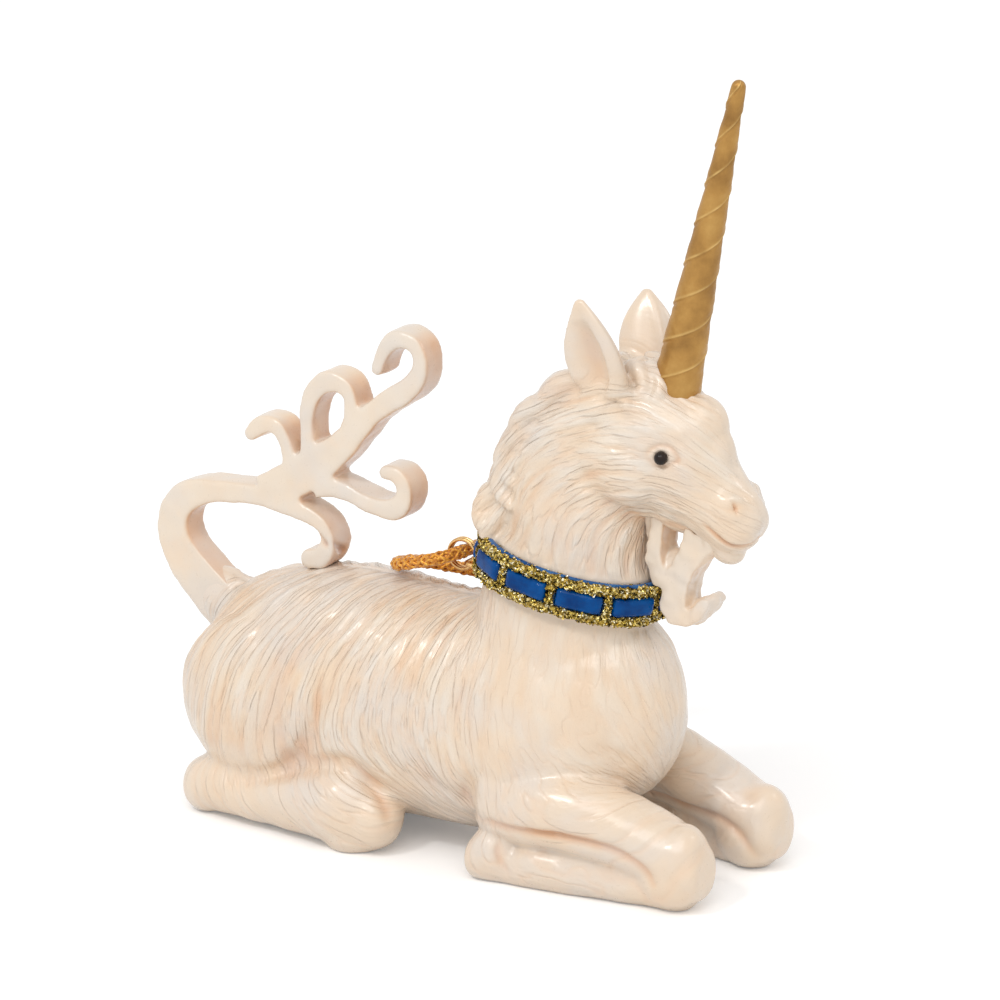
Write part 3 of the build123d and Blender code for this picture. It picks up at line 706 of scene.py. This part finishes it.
body_extra = []
near_side = [
    egg((-22.6, -7.6, 15.8), (12.2, 7.0, 12.2)),
    egg((-7.4, -10.8, 4.8), (5.4, 4.6, 4.6), 10),
    egg((-4.9, -10.8, 4.5), (4.2, 4.2, 4.3), 6),
    egg((15.0, -7.4, 18.0), (8.6, 6.2, 10.4), -14),
    egg((14.6, -9.6, 11.8), (4.4, 4.2, 4.2)),
]
body_extra += near_side + mirrored(near_side)
body_extra += [egg((38.0, -7.9, 6.2), (3.9, 4.4, 5.2), 20), egg((39.8, 10.0, 6.2), (3.9, 4.4, 5.2), 20)]
body_extra += [egg((13.6, -10.9, 3.5), (3.6, 3.3, 3.5)), egg((15.2, 13.2, 3.5), (3.6, 3.3, 3.5))]
body_extra.append(egg((24.5, 0, 22.5), (9.2, 9.4, 13.0), -6))
tail_sleeve = [(-29.0, 0, 23.0), (-33.4, 0, 26.0), (-35.4, 0, 27.8), (-36.8, 0, 29.2)]
body_extra.append(lock(tail_sleeve, (3.8, 3.1, 2.5, 1.5), 16, 5, 1.34))
body = Clay("body_casting", body_extra, voxel=0.35, relax=6)

haunch_edge = [(-11.8, -13.5, 22), (-11.3, -13.5, 20.1), (-12.3, -13.5, 17.2), (-13.7, -13.5, 13.5),
               (-15.8, -13.5, 10.4), (-20.5, -13.5, 7.7), (-23.6, -13.5, 6.6), (-25.5, -13.5, 7.2)]
# The crease under the haunch's edge and the band below it are tinted peach: partly the resin's wash, partly painted
# shade under the overhang.
body.carve(haunch_edge, 0.65, 1.25, tint=0.45, taper=0.7)
body.carve([(x + 1.0, y, z - 0.4) for x, y, z in haunch_edge[1:6]], 0.45, 2.6, tint=0.10)
for crease, depth, width, sides, tint in (
        ([(-15.2, -12, 10.1), (-8.3, -12, 12.1), (-4.5, -12, 10.1), (-2.3, -12, 7.1), (-1.8, -12, 4.4)],
         0.5, 1.0, (False, True), 0.8),
        ([(13.0, -14, 8.6), (15.3, -14, 8.4), (19, -14, 8.3), (24.8, -14, 8.6), (30.5, -14, 8.5),
          (33.3, -14, 8.1), (36.2, -14, 7), (37.9, -14, 5.1)], 0.85, 0.75, (False, True), 1.3),
        ([(11.4, -14, 13.7), (11.1, -14, 11), (12.4, -14, 9.3)], 0.6, 1.0, (False, True), 0.8),
        ([(16.1, -14, 7.3), (15.6, -14, 5.2), (16.1, -14, 3.7), (17.5, -14, 2)], 0.35, 0.5, (False, True), 0.9),
        ([(23.2, 7, 7.1), (27.3, 7, 7.8), (31.7, 7, 7.1), (36, 7, 6.4), (38.9, 7, 4.9), (41.1, 7, 2.6)],
         0.7, 0.7, (False,), 1.2)):
    body.carve(crease, depth, width, sides, tint)
body.update()

body_guides = [
    (-30, -4, 31, 0.6, 0.5, 0.45, 9), (-33, -9, 22, 0.35, 0.1, 0.95, 9), (-34, -8, 12, 0.1, 0, 1.0, 8),
    (-22, -10, 28, 0.50, 0.45, 0.80, 8), (-22, -14, 20, 0.20, 0, 1.0, 8), (-22, -13, 11, 0.0, 0, 1.0, 7),
    (-14, -14, 20, 0.12, 0, 1.0, 6), (-14, -14, 13, -0.15, 0, 1.0, 6), (-8, -9, 30, 0.40, 0.45, 0.80, 8),
    (-7, -14, 20, 0.12, 0, 1.0, 8), (-7, -13, 12, -0.55, 0, 0.85, 6), (-1, -13, 9, -0.45, 0, 0.9, 7),
    (3, -9, 31, 0.25, 0.45, 0.85, 8), (4, -13, 20, 0.05, 0, 1.0, 8),
    (14, -13, 27, -0.20, 0, 1.0, 8), (16, -14, 17, -0.35, 0, 0.95, 8), (27, -9, 26, -0.25, 0, 1.0, 9),
    (31, 0, 22, 0, 0, 1.0, 8), (22, -11, 33, 0.25, 0, 0.95, 7),
    (20, -12, 12, -0.85, 0, 0.45, 6), (32, -11, 9, -0.85, 0, 0.45, 7), (24, -12, 4, -1, 0, 0.2, 5),
    (-30, -11, 4, -0.6, 0, 0.7, 6), (-18, -12, 4, -0.8, 0, 0.5, 6), (-7, -12, 5, -0.7, 0, 0.75, 6),
]
x, y, z = body.p.T
outward = np.abs(y)
forelegs = between(x, 14, 19) * (1 - between(z, 14.5, 18)) * between(outward, 2.5, 4.5)
legs = np.maximum(forelegs, (1 - between(z, 9, 12)))
chest = between(x, 6, 16)
tail_root = (1 - between(x, -34.5, -32.5)) * between(z, 26, 28) * (1 - between(outward, 2.6, 4.0))
collar_up = above_collar(body.p)
under_collar = 1 - between(collar_up, -4.2, -2.6)
off_ground = between(z, 0.2, 1.6)
carved = (1 - 0.65 * legs) * (1 - 0.45 * chest) * (1 - tail_root) * under_collar * off_ground
carved *= between(outward, 0.0, 0.9)
drawn = (1 - tail_root) * (1 - 0.15 * legs) * (1 - 0.5 * chest * (1 - legs)) * off_ground * under_collar
body.unroll(body_guides, drawn, (1.0, 0.0, 0.0), (0.0, 0.0, 1.0))
strands = body.hairs(wide=0.78, long=6.5, layer=0.5, crisp=0.9)
tufts = body.hairs(wide=2.1, long=9.0, layer=4.5, crisp=0.8)
waves = 0.05 * waves_over(body, seed=9, times=40) * between(collar_up, -2.6, -4.6)
body.p += body.n * (carved * (0.13 * strands + 0.08 * tufts) + waves)[:, None]
body.relief_and_painted_light += carved * (0.35 * strands + 0.28 * tufts)
body.finish("body_sculpt", "pearl_resin", pearl)


# ---------------------------------------------------------------- head casting

head_extra = [egg((35.8, 0, 60.2), (4.2, 3.5, 4.1)), egg((38.2, 0, 57.2), (2.7, 2.8, 4.0), -12)]
face = [
    egg((34.0, -3.7, 60.0), (3.0, 1.7, 1.1), 0),
    egg((27.0, -4.6, 55.2), (6.4, 3.0, 5.0), 20),
    egg((41.2, -2.3, 51.2), (3.0, 1.9, 2.3), 30),
    egg((24.0, -3.4, 62.0), (3.4, 3.0, 3.6)),
]
head_extra += face + mirrored(face)
head_extra += [
    egg((41.9, 0, 50.3), (2.8, 2.6, 3.2), 20),
    egg((33.0, 0, 48.9), (5.6, 3.3, 2.3), 12),
    egg((28.4, 0, 50.0), (4.6, 4.2, 2.7), 10),
    egg((39.8, 0, 46.5), (3.4, 2.6, 2.1), 10),
]
# Mane: curling locks down the nape, and a tuft of short locks between ears and horn.
nape = [
    [(22.0, 64.8), (17.6, 63.2), (15.6, 60.2), (17.4, 57.6)],
    [(18.8, 61.8), (14.4, 60.0), (12.6, 56.4), (14.8, 53.8)],
    [(16.4, 58.2), (11.8, 56.0), (9.6, 52.4), (12.0, 49.6)],
    [(14.2, 54.2), (10.2, 51.8), (9.2, 49.0), (11.6, 46.6)],
    [(12.6, 50.4), (8.6, 48.2), (7.4, 45.2), (9.4, 42.8)],
    [(11.6, 47.2), (8.8, 44.6), (8.2, 42.4), (9.8, 41.4)],
]
for k, strand in enumerate(nape):
    for y0, y1 in ((-3.9, -5.6), (-1.4, -2.2), (1.4, 2.2), (3.9, 5.6)):
        shift = 0.7 * (abs(y0) > 2) + 0.35 * math.sin(2.1 * k + y0)
        line = []
        for i, (px, pz) in enumerate(strand):
            py = y0 + (y1 - y0) * i / 3 + 0.5 * math.sin(1.7 * i + k + y0)
            line.append((px + shift * 1.4, py, pz + 0.8 * shift))
        head_extra.append(lock(line, (1.5, 1.7, 1.3, 0.55)))
for px, py, pz, dx, dy, dz in [
        (27.0, -2.6, 63.4, 2.6, -1.0, -1.2), (27.6, 2.6, 63.4, 2.6, 1.0, -1.2), (26.4, 0.0, 64.6, 2.0, 0.2, 3.0),
        (28.4, -1.4, 64.0, 2.4, -0.6, 1.6), (28.4, 1.5, 64.2, 2.4, 0.5, 1.4), (24.6, -3.4, 64.2, 1.6, -1.6, -2.6),
        (24.6, 3.4, 64.2, 1.6, 1.6, -2.6), (30.4, -2.8, 62.8, 2.4, -1.0, -0.9)]:
    line = [(px, py, pz), (px + 0.5 * dx, py + 0.2 * dy, pz + 0.6 * dz + 0.5), (px + dx, py + dy, pz + dz)]
    head_extra.append(lock(line, (1.1, 1.0, 0.35)))

poll = [
    lock([(27.4, -1.8, 67.0), (29.0, -2.8, 66.9), (30.2, -3.4, 65.4), (30.0, -4.3, 63.9)], (0.9, 1.15, 1.0, 0.5)),
    lock([(29.4, -0.9, 67.2), (31.3, -1.9, 66.3), (32.3, -3.1, 64.8), (31.8, -4.2, 63.2)], (0.9, 1.15, 1.0, 0.5)),
    lock([(26.6, -3.4, 65.4), (28.2, -4.4, 64.5), (28.7, -5.1, 62.9), (30.0, -5.5, 61.9)], (0.9, 1.1, 0.9, 0.4)),
]
head_extra += poll + mirrored(poll)


def leaf(root, tip, across, half_widths, thick, bow):
    """A leaf-shaped ear of clay, bowed across its length."""
    root, tip, across = (np.asarray(v, float) for v in (root, tip, across))
    way = tip - root
    length = np.linalg.norm(way)
    way /= length
    across = across - way * (across @ way)
    across /= np.linalg.norm(across)
    out = np.cross(across, way)
    rows = ring = 24
    angle = np.linspace(0, 2 * np.pi, ring, endpoint=False)
    verts = []
    share = np.linspace(0, 1, rows)
    for t, half in zip(share, np.interp(share, np.linspace(0, 1, len(half_widths)), half_widths)):
        middle = root + way * (t * length) - across * (bow * math.sin(math.pi * t))
        flat = thick * (0.35 + 0.65 * min(1.0, half / max(half_widths)))
        verts.append(middle + np.cos(angle)[:, None] * half * across + np.sin(angle)[:, None] * flat * out)
    faces = [tuple(range(ring))]
    faces += [(b, a, d, c) for a, b, c, d in skin(rows, ring)]
    faces.append(tuple(reversed(range((rows - 1) * ring, rows * ring))))
    return np.vstack(verts), faces


def ear_line(root, tip, shift):
    """A line up the hollow of an ear."""
    root, tip = np.array(root), np.array(tip)
    return [root + (tip - root) * t + shift for t in (0.18, 0.4, 0.62, 0.84)]


near_root, near_tip = (26.4, -4.0, 62.6), (23.3, -7.6, 76.0)
far_root, far_tip = (26.6, 4.0, 62.6), (24.4, 7.6, 74.2)
head_extra.append(leaf(near_root, near_tip, (0.93, 0.30, 0.2), (2.2, 3.0, 3.4, 3.3, 2.8, 1.9, 0.7), 1.15, 0.9))
head_extra.append(leaf(far_root, far_tip, (0.98, -0.1, 0.2), (2.2, 2.9, 3.2, 3.1, 2.6, 1.8, 0.6), 1.15, 0.0))
head = Clay("head_casting", head_extra, voxel=0.28, relax=4)
head.press(ear_line(near_root, near_tip, [-0.5, -0.8, 0]), 1.5, 1.5, (-0.15, -0.95, 0.1), 0.55)
head.press(ear_line(far_root, far_tip, [0, 0.8, 0]), 1.4, 1.5, (0.2, 0.95, 0.1), 0.55)
head.update()

# Mouth, nostril and its wing, rim of the eye, brow, bridge of the nose, and the fold of the jaw.
for line, depth, width, tint in (
        ([(38.8, -3.5, 48.9), (40.4, -3.5, 47.8), (42.2, -3.5, 46.8), (44.1, -3.0, 46.8), (45.0, 0, 47.0)],
         0.42, 0.32, 1.6),
        ([(43.4, -3.4, 51.8), (42.8, -3.4, 51.5)], 0.65, 0.75, 1.5),
        ([(44.2, -3.2, 52.4), (43.2, -3.4, 52.9), (42.2, -3.5, 52.5)], -0.22, 0.5, 0.4),
        ([(31.9, -6, 57.1), (32.6, -6, 58.2), (34.2, -6, 58.9), (35.6, -6, 58.6), (36.5, -6, 57.4),
          (35.1, -6, 56.6), (33.3, -6, 56.2), (31.9, -6, 57.1)], 0.34, 0.34, 1.0),
        ([(30.9, -5.5, 60.3), (33, -5.5, 61.2), (35, -5.5, 61.6), (37.8, -5.5, 61.5), (39.9, -5.5, 60.8)],
         -0.25, 1.2, 0.7),
        ([(37.9, -3, 57.5), (40, -3, 56.9), (41.8, -3, 55.6), (42.8, -3, 53.8)], -0.2, 1.1, 0.5),
        ([(23.2, -5.5, 54), (25.3, -5.5, 51.5), (28.2, -5.5, 49.9), (32.4, -5.5, 49), (36.6, -5.5, 48.4)],
         0.35, 1.5, 0.45)):
    head.carve(line, depth, width, tint=tint)
head.update()

head_guides = [
    (20, -8, 43, 0.55, 0, 0.85, 6), (11, -6, 44, 0.35, 0, 0.95, 6), (27, -5, 44, 0.15, 0, 1.0, 5),
    (16, -8, 50, 0.75, 0, 0.65, 6), (20, -7, 56, 0.95, 0, 0.25, 6), (26, -6, 53, 1.0, 0, -0.15, 6),
    (33, -5, 52, 1.0, 0, -0.22, 6), (40, -4, 50, 0.9, 0, -0.40, 5), (29, -6, 60, 1.0, 0, 0.05, 5),
    (35, -4, 63, 0.8, 0, -0.55, 5), (39, 0, 59, 0.6, 0, -0.8, 5), (10, -2, 52, 0.35, 0.2, 0.9, 6),
    (17, -2, 62, 0.75, 0.2, 0.65, 6), (24, -5, 70, 0.0, 0.2, 1.0, 5), (26, 0, 65, 0.7, 0, 0.5, 4),
    (31, 0, 45, 0, 0, 1, 4),
]
x, y, z = head.p.T
outward = np.abs(y)
ears = between(z, 64.6, 67.5) * between(outward, 2.0, 3.6)
muzzle = between(x, 34, 40)
brow = np.exp(-((x - 34) ** 2 / 16 + (z - 59) ** 2 / 9))
over_collar = between(above_collar(head.p), 2.7, 4.2)
carved = (1 - 0.85 * ears) * (1 - 0.75 * muzzle) * (1 - 0.7 * brow) * over_collar * between(outward, 0.0, 0.8)
drawn = over_collar * (1 - 0.85 * ears) * (1 - 0.6 * brow) * (1 - 0.5 * muzzle)
head.unroll(head_guides, drawn, (0.6, 0.0, -0.6), (0.7, 0.0, 0.7))
strands = head.hairs(wide=0.62, long=4.6, layer=1.5, crisp=0.9)
tufts = head.hairs(wide=1.7, long=6.0, layer=7.5, crisp=0.8)
head.p += head.n * (carved * (0.10 * strands + 0.10 * tufts))[:, None]
head.relief_and_painted_light += carved * (0.35 * strands + 0.30 * tufts)
head.finish("head_sculpt", "pearl_resin", pearl)


# ---------------------------------------------------------------- tail and beard

tail = Clay("tail", [], voxel=0.30, relax=5)
curl_crease = [(-12.9, -2.2, 37.3), (-14.5, -2.2, 36.6), (-17.5, -2.2, 36.9), (-20.3, -2.2, 37.4)]
tail.carve(curl_crease, 0.6, 0.4, (False,), 2.0)
waves = waves_over(tail, seed=21, times=30)
tail.p += tail.n * (0.05 * waves)[:, None]
# Colour by which way the surface faces: a paler near face is painted light; darker peach on forward-facing walls and
# undersides is partly the resin's wash and partly painted shade.
near_face, front_wall, underside = (between(way, low, 0.9) for way, low in (
    (-tail.n[:, 1], 0.3), (tail.n[:, 0], 0.2), (-tail.n[:, 2], 0.3)))
tail.relief_and_painted_light += 0.32 * near_face - 1.0 * front_wall - 0.5 * underside + 0.06 * waves
tail.finish("tail_sculpt", "pearl_resin", pearl)

beard_extra = [
    egg((33.4, 0, 41.0), (1.9, 2.0, 3.2)),
    egg((35.6, 0, 44.6), (1.5, 2.0, 2.4), 20),
    egg((38.4, 0, 38.0), (0.9, 1.1, 1.1)),
    lock([(31.2, 0, 49.0), (31.1, 0, 46.5), (31.2, 0, 43.5), (31.3, 0, 41.5)], (1.5, 1.1, 1.0, 1.1), 12, 5, 1.9),
    lock([(38.4, 0, 47.6), (37.2, 0, 45.2), (35.4, 0, 42.6), (34.2, 0, 40.4)], (2.2, 1.7, 1.3, 1.5), 12, 5, 1.5),
    lock([(33.6, 0, 37.6), (35.4, 0, 36.3), (37.0, 0, 36.8), (38.2, 0, 38.0)], (1.6, 1.3, 1.0, 0.7), 12, 5, 1.5),
]
beard = Clay("beard", beard_extra, voxel=0.22, relax=5)
# Colour by which way the surface faces: a paler near face is painted light, and darker front walls low on the beard
# are painted shade.
near_face, front_wall = between(-beard.n[:, 1], 0.3, 0.9), between(beard.n[:, 0], 0.3, 0.9)
beard.relief_and_painted_light += 0.25 * near_face - 0.5 * front_wall * between(beard.p[:, 2], 39, 42)
beard.p += beard.n * (0.06 * waves_over(beard, seed=23, times=12))[:, None]
beard.finish("beard_sculpt", "pearl_resin", pearl)


# ---------------------------------------------------------------- horn

horn_root = np.array([32.4, 0.0, 62.5])
horn_tip = np.array([41.0, 0.0, 103.8])
horn_long = np.linalg.norm(horn_tip - horn_root)
horn_axis = (horn_tip - horn_root) / horn_long
horn_side = np.array([horn_axis[2], 0.0, -horn_axis[0]])
horn_across = np.array([0.0, 1.0, 0.0])
root_radius, tip_radius, tip_round = 3.12, 0.82, 0.8
ridge_step, ridge_start, lip_width, gutter_width = 5.2, 0.15, 0.035, 0.05
lip_height, gutter_depth, unevenness = 0.11, 0.10, 0.05
seat_depth = 3.0
rows, columns = 300, 72
points = []
marks = []
for i in range(rows + 1):
    h = horn_long * i / rows
    base = root_radius + (tip_radius - root_radius) * h / horn_long
    cap = math.sqrt(max(0.0, 1 - max(0.0, (h - horn_long + tip_round) / tip_round) ** 2))
    for j in range(columns):
        a = 2 * math.pi * j / columns
        phase = (h / ridge_step - a / math.pi + ridge_start) % 1.0
        lip = math.exp(-((phase - 0.5) / lip_width) ** 2)
        gutter = math.exp(-((phase - 0.43) / gutter_width) ** 2)
        swell = unevenness * math.sin(2 * math.pi * (phase - 0.5))
        rough = unevenness * noise.noise(Vector((1.1 * h, 2.0 * math.cos(a), 2.0 * math.sin(a))))
        radius = (base + lip_height * lip - gutter_depth * gutter + swell + rough) * cap
        seat = (0.5 * math.sin(3 * a) + 0.3 * math.sin(7 * a)) * max(0.0, 1 - h / seat_depth) * 0.8
        round_way = math.cos(a) * horn_side + math.sin(a) * horn_across
        points.append(horn_root + horn_axis * (h + seat) + radius * round_way)
        # Pale gold along every ridge lip: a painted highlight, stored for the paint's colour.
        marks.append(0.75 * lip * (0.55 + 0.45 * noise.noise(Vector((0.8 * h, a, 3.0)))) - 0.35 * gutter)
faces = skin(rows + 1, columns)
faces.append(tuple(reversed(range(columns))))
faces.append(tuple(range(rows * columns, (rows + 1) * columns)))
mesh = mesh_from("horn_spiral", metres(points), faces)
store(mesh, "relief_and_painted_light", "FLOAT", "value", np.clip(marks, 0, 1))
add_object("horn_spiral", mesh, "gilt_paint", gold_paint, "horn")


# ---------------------------------------------------------------- collar

cells = 26
side = cells + 1
clearance, corner_cut, dome_rise, unevenness = 0.02, 0.10, 0.12, 0.05
for k in range(1, 11):
    node = f"collar_stone_{k:02d}"
    corner = points_of(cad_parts[node].data)
    centre = (corner.max(0) + corner.min(0)) / 2
    long_way, high_way, out_way = np.linalg.svd(corner - corner.mean(0), full_matrices=False)[2]
    if (centre - collar_middle) @ out_way < 0:
        out_way = -out_way
    half_long = np.abs((corner - centre) @ long_way).max() - clearance
    half_high = np.abs((corner - centre) @ high_way).max() - clearance
    half_out = np.abs((corner - centre) @ out_way).max()
    grid = []
    for i in range(side):
        for j in range(side):
            u = -1 + 2 * i / cells
            v = -1 + 2 * j / cells
            edge_u = math.copysign(abs(u) ** 0.8, u)
            edge_v = math.copysign(abs(v) ** 0.8, v)
            corner_in = 1 - corner_cut * (u * v) ** 4
            fall = (1 - abs(u) ** 4) * (1 - abs(v) ** 3)
            dome = -half_out + 0.1 + (2 * half_out + dome_rise) * max(0.0, fall) ** 0.36
            dome += unevenness * noise.noise(Vector((centre[0] + 2 * u, 3 * v, k)))
            flat = long_way * edge_u * half_long * corner_in + high_way * edge_v * half_high * corner_in
            grid.append(centre + flat + out_way * dome)
    faces = []
    for i in range(cells):
        for j in range(cells):
            faces.append((i * side + j, (i + 1) * side + j, (i + 1) * side + j + 1, i * side + j + 1))
    rim = [*range(side), *(i * side + cells for i in range(1, side)),
           *(cells * side + j for j in range(cells - 1, -1, -1)), *(i * side for i in range(cells - 1, 0, -1))]
    faces.append(tuple(rim))
    if np.cross(long_way, high_way) @ out_way <= 0:
        faces = [tuple(reversed(face)) for face in faces]
    name = f"cabochon_{k:02d}"
    add_object(name, mesh_from(name, metres(grid), faces), "blue_stone", stone_blue, node)


def glitter_piece(name, node, seed, flecks):
    """A rim of glitter in varnish: a lumpy bed with flecks lying on it at all angles."""
    bed = Clay(node, [], voxel=0.17, relax=2)
    lumps = waves_over(bed, seed, times=3)
    bed.p += bed.n * np.clip(0.11 * lumps + 0.05, -0.15, 0.25)[:, None]
    bed.finish(name, "gold_glitter", glitter_bed)
    lean, smallest, largest, sunk, proud = 0.55, 0.10, 0.24, 0.02, 0.12
    corners = np.arange(6) * math.pi / 3
    chance = np.random.default_rng(seed + 1)
    away = bed.p - collar_middle
    outside = np.nonzero((bed.n * away).sum(1) > -0.5)[0]
    parts = []
    for i in chance.choice(outside, flecks):
        axis = bed.n[i] + chance.normal(0, lean, 3)
        axis /= np.linalg.norm(axis)
        first = np.cross(axis, chance.normal(0, 1, 3))
        first /= np.linalg.norm(first)
        second = np.cross(axis, first)
        reach = chance.uniform(smallest, largest)
        middle = bed.p[i] + bed.n[i] * chance.uniform(sunk, proud)
        rim = middle + reach * (np.cos(corners)[:, None] * first + np.sin(corners)[:, None] * second)
        parts.append((rim, [(0, 1, 2, 3, 4, 5)]))
    verts, faces = gather(parts)
    mesh = mesh_from(name + "_flecks", metres(verts), faces)
    mesh.polygons.foreach_set("use_smooth", [False] * len(mesh.polygons))
    add_object(name + "_flecks", mesh, "gold_glitter", glitter_fleck)


glitter_piece("glitter_upper", "glitter_rim_upper", 31, 5200)
glitter_piece("glitter_lower", "glitter_rim_lower", 41, 5200)
glitter_piece("glitter_posts", "glitter_dividers", 51, 1500)

# A thin lip of pale enamel shows between the upper rim and the neck.
forward = np.array([math.cos(collar_tilt), 0, -math.sin(collar_tilt)])
normal = np.array([math.sin(collar_tilt), 0, math.cos(collar_tilt)])
neck_long, neck_wide, rim_wide, lip_out, lip_up, side_rise = 11.2, 9.2, 10.82, 0.55, 2.45, 0.6
lip_thick, lip_high = 0.42, 0.30
count, ring_count = 160, 10
lip_line = []
for angle in np.linspace(0, 2 * math.pi, count, endpoint=False):
    a = neck_long + lip_out
    b = neck_wide + lip_out
    height = lip_up + side_rise * (b * math.sin(angle) / rim_wide) ** 2
    across = np.array([0, 1, 0]) * b * math.sin(angle)
    lip_line.append(collar_middle + forward * a * math.cos(angle) + across + normal * height)
lip_line = np.array(lip_line)
outward = lip_line - (collar_middle + normal * lip_up)
outward /= np.linalg.norm(outward, axis=1)[:, None]
points = []
for spot, out in zip(lip_line, outward):
    for a in 2 * math.pi * np.arange(ring_count) / ring_count:
        points.append(spot + out * lip_thick * math.cos(a) + normal * lip_high * math.sin(a))
faces = [(a, d, c, b) for a, b, c, d in skin(count, ring_count, closed=True)]
add_object("collar_lip", mesh_from("collar_lip", metres(points), faces), "blue_enamel", enamel_edge)


# ---------------------------------------------------------------- carried-over nodes

black = black_gloss()
steel = metal("steel_pin", (0.30, 0.30, 0.31), (0.62, 0.62, 0.63), 0.3)
for node, mat in (("collar_band", enamel), ("eye_right", black), ("eye_left", black), ("neck_dowel", wood()),
                  ("horn_pin", steel), ("tail_pin", steel), ("eye_staple", gold_wire), ("split_ring", gold_wire)):
    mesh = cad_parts[node].data
    mesh.materials.clear()
    mesh.materials.append(mat)


# ---------------------------------------------------------------- floor, world and lamps

floor_mesh = bpy.data.meshes.new("floor")
reach = 3
corners = [(-reach, -reach, 0), (reach, -reach, 0), (reach, reach, 0), (-reach, reach, 0)]
floor_mesh.from_pydata(corners, [], [(0, 1, 2, 3)])
floor = bpy.data.objects.new("floor", floor_mesh)
bpy.context.collection.objects.link(floor)
paper, tree = material("white_paper")
tone = tree.ramp(tree.noise(40.0, 3.0), (0.3, grey(0.955)), (0.7, grey(0.965)))
# Only the camera sees the floor a little brighter, for the photograph's white background.
rays = tree.nodes.new("ShaderNodeLightPath").outputs
shown = tree.computed("MULTIPLY", rays["Is Camera Ray"], 0.16)
tree.set(Base_Color=tone, Roughness=0.9, Specular_IOR_Level=0.0, Emission_Strength=shown, Emission_Color=grey(1))
floor_mesh.materials.append(paper)

world = bpy.data.worlds.new("studio")
scene.world = world
tree = Tree(world, "Background")
rays = tree.nodes.new("ShaderNodeLightPath").outputs
seen = tree.computed("MAXIMUM", rays["Is Camera Ray"], rays["Is Glossy Ray"])
seen = tree.computed("MAXIMUM", seen, rays["Is Transmission Ray"])
tree.set(Color=grey(1), Strength=tree.span(seen, To_Min=0.72, To_Max=1.0))

sun_data = bpy.data.lights.new("sun", "SUN")
sun_data.energy = 0.75
sun_data.angle = math.radians(40)
sun = bpy.data.objects.new("sun", sun_data)
bpy.context.collection.objects.link(sun)
toward = (right * -0.05 + back * 0.85 + Vector((0, 0, 0.80))).normalized()
sun.rotation_euler = toward.to_track_quat("Z", "Y").to_euler()

lit_point = Vector((0.01, 0, 0.04))
for name, side, high, near, energy, width in (
        ("key", -0.30, 0.42, 0.34, 0.75, 0.075), ("rim", 0.42, 0.38, -0.05, 0.12, 0.045)):
    lamp_data = bpy.data.lights.new(name, "AREA")
    lamp_data.energy = energy
    lamp_data.shape = "DISK"
    lamp_data.size = width
    lamp = bpy.data.objects.new(name, lamp_data)
    bpy.context.collection.objects.link(lamp)
    spot = right * side + Vector((0, 0, high)) + back * near
    lamp.location = spot
    lamp.rotation_euler = (spot - lit_point).to_track_quat("Z", "Y").to_euler()
